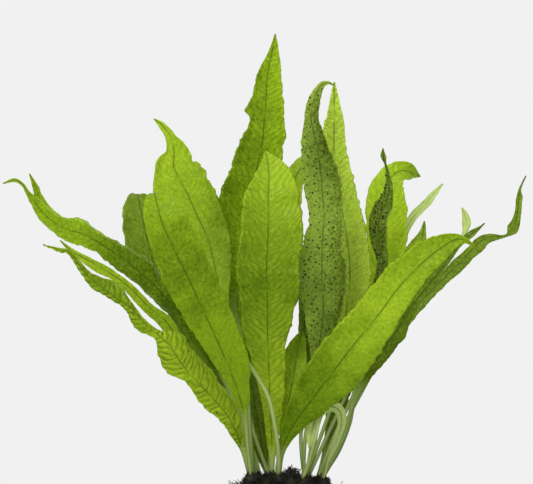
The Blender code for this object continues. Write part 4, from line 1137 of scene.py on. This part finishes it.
# %% The limbs
WOOD_LIMBS = (
    (((-80, -23, 8.5), 6.5), ((-63, -14, 12), 12), ((-44, -7, 15), 16.5), ((-22, -3, 17), 20),
     ((4, 1, 18), 21), ((28, 2, 18.5), 20.5), ((50, 7, 15.5), 17), ((70, 15, 11.5), 12.5), ((88, 26, 8), 7)),
    (((-38, -8, 12), 14), ((-52, -26, 9.5), 11.5), ((-70, -41, 7.5), 9.5), ((-86, -50, 5), 6.5)),
    (((30, 8, 12), 14), ((44, 28, 9.5), 11.5), ((56, 48, 7.5), 9.5), ((74, 64, 5), 6.5)),
    (((-34, 4, 12), 13), ((-44, 24, 9.5), 11.5), ((-60, 40, 7), 9), ((-70, 56, 4.5), 5.5)),
)
FINE = 10  # rows between two stations
LIMB_SIDES = 32
limb_axes = []
for stations in WOOD_LIMBS:
    draft = smooth_curve(np.array([(*centre, radius) for centre, radius in stations], float), FINE)
    from_end = np.minimum(np.arange(len(draft)), len(draft) - 1 - np.arange(len(draft)))
    draft[:, 3] *= 1 - 0.5 * np.clip(1 - from_end / 3, 0, 1) ** 2  # rounded ends
    limb_axes.append(draft)
print("rows of each limb:", [len(draft) for draft in limb_axes])


# %% Sweep the limbs
def sweep_limb(body, draft, seed):
    """Adds one fluted, worn limb along draft, whose rows are (x, y, z, radius) in mm."""
    tangents = [Vector(t).normalized() for t in np.gradient(draft[:, :3], axis=0)]
    loops = []
    for i, (x, y, z, radius) in enumerate(draft):
        side = tangents[i].cross(Vector((0, 0, 1))).normalized()
        upward = side.cross(tangents[i])
        loop = []
        for k in range(LIMB_SIDES):
            angle = math.tau * k / LIMB_SIDES
            ring = i * 2 / FINE
            flute = 0.06 * math.cos(3 * angle + seed + 0.3 * ring) + 0.04 * math.cos(5 * angle - seed)
            worn = 0.12 * noise.noise(Vector((math.cos(angle), math.sin(angle), 0.5 * ring + 7 * seed)))
            reach = radius * (1 + flute + worn)
            out = side * math.cos(angle) + upward * math.sin(angle)
            loop.append(body.verts.new((Vector((x, y, z)) + out * reach) * MM))
        loops.append(loop)
    made = []
    for low, high in zip(loops, loops[1:]):
        for k in range(LIMB_SIDES):
            j = (k + 1) % LIMB_SIDES
            made.append(body.faces.new((low[k], low[j], high[j], high[k])))
    made.append(body.faces.new(loops[0][::-1]))
    made.append(body.faces.new(loops[-1]))
    bmesh.ops.recalc_face_normals(body, faces=made)


wood_body = bmesh.new()
for count, draft in enumerate(limb_axes):
    sweep_limb(wood_body, draft, count + 1)
raw_wood = bpy.data.meshes.new("raw_wood")
wood_body.to_mesh(raw_wood)
wood_body.free()
print("raw limbs:", len(raw_wood.polygons), "faces")

# %% Melt the limbs together and cut them level
wood = bpy.data.objects.new("raw_wood", raw_wood)
scene.collection.objects.link(wood)
melt = wood.modifiers.new("melt", "REMESH")
melt.mode = "VOXEL"
melt.voxel_size = 1.0 * MM
soften = wood.modifiers.new("soften", "SMOOTH")
soften.iterations = 4
melted = bpy.data.meshes.new_from_object(wood.evaluated_get(bpy.context.evaluated_depsgraph_get()))
bpy.data.objects.remove(wood)
bm = bmesh.new()
bm.from_mesh(melted)
cut = bmesh.ops.bisect_plane(
    bm, geom=bm.verts[:] + bm.edges[:] + bm.faces[:], plane_co=(0, 0, 0), plane_no=(0, 0, -1),
    clear_outer=True,
)
rim_edges = [e for e in cut["geom_cut"] if isinstance(e, bmesh.types.BMEdge)]
bmesh.ops.triangle_fill(bm, edges=rim_edges, use_beauty=True)
bmesh.ops.recalc_face_normals(bm, faces=bm.faces)
bm.to_mesh(melted)
bm.free()
print("melted wood:", len(melted.vertices), "points")

# %% [markdown]
# ## The grain of the wood
#
# Grain runs along every fork, so a pattern laid over the whole body would be wrong. Instead each
# point of the body finds the limb that it lies on, and its place along and around that limb is
# its place in the grain. That drives two things: the fine relief, of fibres, flutes and drying
# cracks, and later the colour of the finish.

# %% Each point's place in the grain
points = np.empty(len(melted.vertices) * 3)
melted.vertices.foreach_get("co", points)
points = points.reshape(-1, 3) / MM
normals = np.empty(len(melted.vertices) * 3)
melted.vertices.foreach_get("normal", normals)
normals = normals.reshape(-1, 3)
nearest = np.full(len(points), np.inf)
grain = np.zeros((len(points), 3))
for count, draft in enumerate(limb_axes):
    lengths = np.concatenate([[0], np.cumsum(np.linalg.norm(np.diff(draft[:, :3], axis=0), axis=1))])
    gaps = np.linalg.norm(points[:, None] - draft[None, :, :3], axis=2) - draft[None, :, 3]
    best = gaps.argmin(1)
    closer = gaps.min(1) < nearest
    nearest = np.where(closer, gaps.min(1), nearest)
    axis = np.gradient(draft[:, :3], axis=0)
    axis /= np.linalg.norm(axis, axis=1)[:, None]
    offset = points - draft[best, :3]
    beside = np.cross(axis, (0, 0, 1))
    beside /= np.linalg.norm(beside, axis=1)[:, None]
    over = np.cross(beside, axis)
    angle = np.arctan2((offset * beside[best]).sum(1), (offset * over[best]).sum(1))
    along = lengths[best] + (offset * axis[best]).sum(1)
    own = np.stack([angle * 14, along, np.full(len(points), 40.0 * count)], 1)
    grain = np.where(closer[:, None], own, grain)
print("grain found for", len(grain), "points")

# %% Carve the grain
carved = np.zeros(len(points))
for i, (around, along, limb) in enumerate(grain):
    fibre = noise.noise(Vector((around / 2.1, along / 22, limb)))
    flute = noise.noise(Vector((around / 6.5, along / 60, limb + 9)))
    crack = noise.noise(Vector((around / 4.2, along / 34, limb + 21)))
    crack = max(0.0, 0.09 - abs(crack)) / 0.09
    opened = noise.noise(Vector((0, along / 25, limb + 33))) > 0.05
    carved[i] = 0.35 * fibre + 1.3 * flute - 2.4 * crack * opened
standing = np.clip(points[:, 2] / 2.5, 0, 1)  # the flat cut stays flat
points += normals * (carved * standing)[:, None]
points[:, 2] = np.maximum(points[:, 2], 0)
melted.vertices.foreach_set("co", (points * MM).ravel())
attribute = melted.attributes.new("grain", "FLOAT_VECTOR", "POINT")
attribute.data.foreach_set("vector", grain.ravel())
melted.update()
melted.shade_smooth()
print("carved, mm:", round(carved.min(), 1), "to", round(carved.max(), 1))


# %% [markdown]
# ## The finish of worn wood
#
# Wood that has lain in water is dark and dull. Its harder lines stand up about 1 mm apart and are
# paler, since sand has polished them, and a green bloom of algae sits in patches.


# %% Finish the driftwood
def water_worn(tree):
    """Grain lines 1 mm apart along each limb, broad bands, and patches of algae 25 mm across."""
    run = add(tree, "ShaderNodeAttribute", attribute_name="grain", out=1)
    stretched = add(tree, "ShaderNodeMapping", inputs={"Vector": run, "Scale": (1.0, 0.07, 1.0)})
    lines = add(tree, "ShaderNodeTexNoise", stretched, 0.9, 4.0)
    broad = add(tree, "ShaderNodeTexNoise", stretched, 0.16, 3.0)
    stains = add(tree, "ShaderNodeTexNoise", add(tree, "ShaderNodeTexCoord", out=3), 38, 3.0)
    warm = add(tree, "ShaderNodeMix", broad, linear("#2B1D12"), linear("#6E5238"), data_type="RGBA")
    fine = add(tree, "ShaderNodeMapRange", lines, 0.38, 0.62, 0.0, 1.0)
    toned = add(tree, "ShaderNodeMix", fine, linear("#22170E"), warm, data_type="RGBA")
    algae = add(tree, "ShaderNodeMapRange", stains, 0.52, 0.68, 0.0, 0.35)
    return add(tree, "ShaderNodeMix", algae, toned, linear("#3B3F1E"), data_type="RGBA"), lines


wood_finish = rough_finish("water_worn_driftwood", water_worn, 0.74, 0.3, 0.7, 0.6)
shown("driftwood_body", melted, wood_finish, "driftwood", "driftwood_trunk", "driftwood_fork_front",
      "driftwood_fork_back", "driftwood_fork_rear")
print("driftwood:", len(melted.polygons), "faces")

# %% [markdown]
# ## The root mat
#
# Java fern roots are dark brown, as fine as hair and wiry. Hundreds of them mat together into a
# fuzzy cushion under the rhizomes. The mat starts as a dark, lumpy mound with a ridge where the
# stalks meet.

# %% The mound
MAT_CENTRE, MAT_RADII, MAT_RIDGE = (8.5, 1.0, -9.8), (34.0, 25.0, 12.5), (13.5, 3.2, 5.5)
bm = bmesh.new()
bmesh.ops.create_icosphere(bm, subdivisions=5, radius=1)
for vert in bm.verts:
    lump = 1 + 0.16 * noise.noise(vert.co * 2.3)
    lump += 0.05 * noise.noise(vert.co * 6) + 0.05 * noise.noise(vert.co * 17)
    place = Vector(radius * c * lump for radius, c in zip(MAT_RADII, vert.co))
    x, y, z = place + Vector(MAT_CENTRE)
    across, width, height = MAT_RIDGE
    ridge = height * math.exp(-(((x - across) / width) ** 2)) * max(0.0, vert.co.z)
    vert.co = Vector((x, y, z + ridge + CROWN_UP)) * MM
bmesh.ops.recalc_face_normals(bm, faces=bm.faces)
mound = bpy.data.meshes.new("root_mound")
bm.to_mesh(mound)
bm.free()
mound.shade_smooth()


def tangled(tree):
    """Wet, near-black roots too fine to tell apart, drawn 1 mm apart so that they show."""
    tangle = add(tree, "ShaderNodeTexNoise", add(tree, "ShaderNodeTexCoord", out=3), 900, 3.0)
    colour = add(tree, "ShaderNodeMix", tangle, linear("#0E0D08"), linear("#2E2B1A"), data_type="RGBA")
    return colour, tangle


root_finish = rough_finish("wet_black_roots", tangled, 0.7, 0.25, 0.8, 0.8)
shown("root_mound", mound, root_finish, "root_mat", "root_mat")
print("mound:", len(mound.polygons), "faces")

# %% [markdown]
# ## The fibres
#
# A solid mound alone would look like mud, so a tree plants fibres all over it and over the
# rhizomes. Each fibre is one strand, turned and scaled at random from a fixed seed. The strands
# are made real before they are bent, so that each bends in its own way, and they thin out
# towards their tips.

# %% The tree that plants fibres
fibre_tree, given = shape_tree(
    "root_fibres", Fibres_to_a_square_metre=900000.0, Length_mm=6.0, Thickness_mm=0.12, Curl_mm=2.0,
    Lowest_up_mm=20.0, Seed=1,
)
length = add(fibre_tree, "MULTIPLY", given["Length mm"], MM)
where = add(fibre_tree, "GeometryNodeInputPosition")
_, _, height = add(fibre_tree, "ShaderNodeSeparateXYZ", where, out=None)
lowest = add(fibre_tree, "MULTIPLY", given["Lowest up mm"], MM)
roots = fibre_tree.nodes.new("GeometryNodeDistributePointsOnFaces")
for title, value in (
    ("Mesh", given["Geometry"]), ("Density", given["Fibres to a square metre"]),
    ("Selection", add(fibre_tree, "GREATER_THAN", height, lowest)), ("Seed", given["Seed"]),
):
    fibre_tree.links.new(value, roots.inputs[title])
tip = add(fibre_tree, "ShaderNodeCombineXYZ", 0.0, 0.0, length)
strand = add(fibre_tree, "GeometryNodeCurvePrimitiveLine", inputs={"End": tip})
strand = add(fibre_tree, "GeometryNodeResampleCurve", inputs={"Curve": strand, "Count": 7})
share = add(fibre_tree, "GeometryNodeSplineParameter")
strand = add(
    fibre_tree, "GeometryNodeStoreNamedAttribute",
    inputs={"Geometry": strand, "Name": "up_strand", "Value": share}, data_type="FLOAT", domain="POINT",
)
placed = add(fibre_tree, "GeometryNodeInstanceOnPoints", inputs={
    "Points": roots.outputs["Points"], "Instance": strand, "Rotation": roots.outputs["Rotation"]})
print("a strand has 7 points")

# %% Turn, scale and bend the strands
lean = add(
    fibre_tree, "FunctionNodeRandomValue", (-1.1, -1.1, -3.1), (1.1, 1.1, 3.1),
    inputs={"Seed": given["Seed"]}, data_type="FLOAT_VECTOR",
)
turned = add(fibre_tree, "GeometryNodeRotateInstances", inputs={"Instances": placed, "Rotation": lean})
longer = add(fibre_tree, "FunctionNodeRandomValue", 0.45, 1.3, inputs={"Seed": 5}, data_type="FLOAT")
scaled = add(fibre_tree, "GeometryNodeScaleInstances", inputs={"Instances": turned, "Scale": longer})
loose = add(fibre_tree, "GeometryNodeRealizeInstances", scaled)
up_strand = add(fibre_tree, "GeometryNodeInputNamedAttribute", "up_strand", data_type="FLOAT")
where = add(fibre_tree, "GeometryNodeInputPosition")
bend = add(fibre_tree, "ShaderNodeTexNoise", where, 160.0, 2.0, out=1)
bend = add(fibre_tree, "ShaderNodeVectorMath:SUBTRACT", bend, (0.5, 0.5, 0.5))
strength = add(fibre_tree, "MULTIPLY", given["Curl mm"], 4 * MM)
strength = add(fibre_tree, "MULTIPLY", strength, add(fibre_tree, "POWER", up_strand, 1.3))
bend = add(fibre_tree, "ShaderNodeVectorMath:SCALE", bend, inputs={"Scale": strength})
curled = add(fibre_tree, "GeometryNodeSetPosition", inputs={"Geometry": loose, "Offset": bend})


def wires(tree, curves, thinning, sides, thickness):
    """Curves with the attribute up_strand made into round wires that thin out to their tips."""
    up_strand = add(tree, "GeometryNodeInputNamedAttribute", "up_strand", data_type="FLOAT")
    taper = add(tree, "MULTIPLY_ADD", up_strand, -thinning, 1.0)
    slim = add(tree, "GeometryNodeSetCurveRadius", inputs={"Curve": curves, "Radius": taper})
    ring = add(tree, "GeometryNodeCurvePrimitiveCircle", inputs={
        "Resolution": sides, "Radius": add(tree, "MULTIPLY", thickness, MM)})
    return add(tree, "GeometryNodeCurveToMesh", inputs={
        "Curve": slim, "Profile Curve": ring, "Fill Caps": True})


end_tree(fibre_tree, wires(fibre_tree, curled, 0.75, 3, given["Thickness mm"]), given["Finish"])

# %% Plant the fibres
stems = bmesh.new()
for piece in rhizome_pieces:
    stems.from_mesh(piece.data)
stem_ground = bpy.data.meshes.new("stem_ground")
stems.to_mesh(stem_ground)
stems.free()
FIBRES = (  # name, ground, fibres to a square metre, length, thickness, curl, lowest up in mm, seed
    ("rhizome_fuzz", stem_ground, 1500000.0, 2.4, 0.16, 1.4, 40.0, 23),
    ("root_fuzz", mound, 700000.0, 2.6, 0.16, 1.0, 26.0, 3),
    ("root_strands", mound, 150000.0, 3.8, 0.18, 1.8, 26.0, 11),
)
for name, ground, many, length_mm, thick, curl, lowest, seed in FIBRES:
    fuzz = grown(name, ground.copy(), fibre_tree, Fibres_to_a_square_metre=many, Length_mm=length_mm,
                 Thickness_mm=thick, Curl_mm=curl, Lowest_up_mm=lowest, Seed=seed, Finish=root_finish)
    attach(fuzz, "root")
    print(name, sum(len(p.vertices) - 2 for p in fuzz.data.polygons), "triangles")

# %% [markdown]
# ## Roots that creep over the wood
#
# From the edge of the mat, thicker roots run out over the wood in search of holds. Drawing each
# by hand would be slow and they would hang in the air. So each one is walked in small steps: it
# keeps roughly its heading, wanders a little, and after every step it is pulled back onto the
# wood. A tree turns the walked lines into round roots.

# %% Walk the creeping roots
wood_tree = BVHTree.FromPolygons([v.co for v in melted.vertices], [p.vertices[:] for p in melted.polygons])
rng = np.random.default_rng(12)
lines = bmesh.new()
share_layer = lines.verts.layers.float.new("up_strand")
ROOTS = 90
STEP_MM = 1.5
for count in range(ROOTS):
    angle = math.tau * count / ROOTS + rng.uniform(-0.05, 0.05)
    start = Vector((MAT_CENTRE[0] + math.cos(angle) * 26, MAT_CENTRE[1] + math.sin(angle) * 15, 60)) * MM
    found = wood_tree.ray_cast(start, Vector((0, 0, -1)))
    if found[0] is None:
        continue
    here, normal = found[0], found[1]
    heading = Vector((math.cos(angle), 0.6 * math.sin(angle), 0))
    steps = int(rng.integers(10, 34))
    before = None
    for step in range(steps):
        place = lines.verts.new(here + normal * 0.25 * MM)
        place[share_layer] = step / steps
        if before:
            lines.edges.new((before, place))
        before = place
        wander = Vector(rng.normal(0, 0.35, 3))
        heading = (heading + wander).normalized()
        heading = (heading - normal * heading.dot(normal)).normalized()
        closest = wood_tree.find_nearest(here + heading * STEP_MM * MM)
        if closest[0] is None or closest[0].z < STEP_MM * MM:
            break
        here, normal = closest[0], closest[1]
walked = bpy.data.meshes.new("walked_roots")
lines.to_mesh(walked)
lines.free()
print("walked steps:", len(walked.edges))

# %% Make the walked lines round
creep_tree, given = shape_tree("creeping_roots", Thickness_mm=0.45)
curves = add(creep_tree, "GeometryNodeMeshToCurve", given["Geometry"])
end_tree(creep_tree, wires(creep_tree, curves, 0.7, 6, given["Thickness mm"]), given["Finish"])
creeping = grown("creeping_roots", walked, creep_tree, Thickness_mm=0.4, Finish=root_finish)
creeping.data.shade_smooth()
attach(creeping, "root")
print("creeping roots:", len(creeping.data.polygons), "faces")
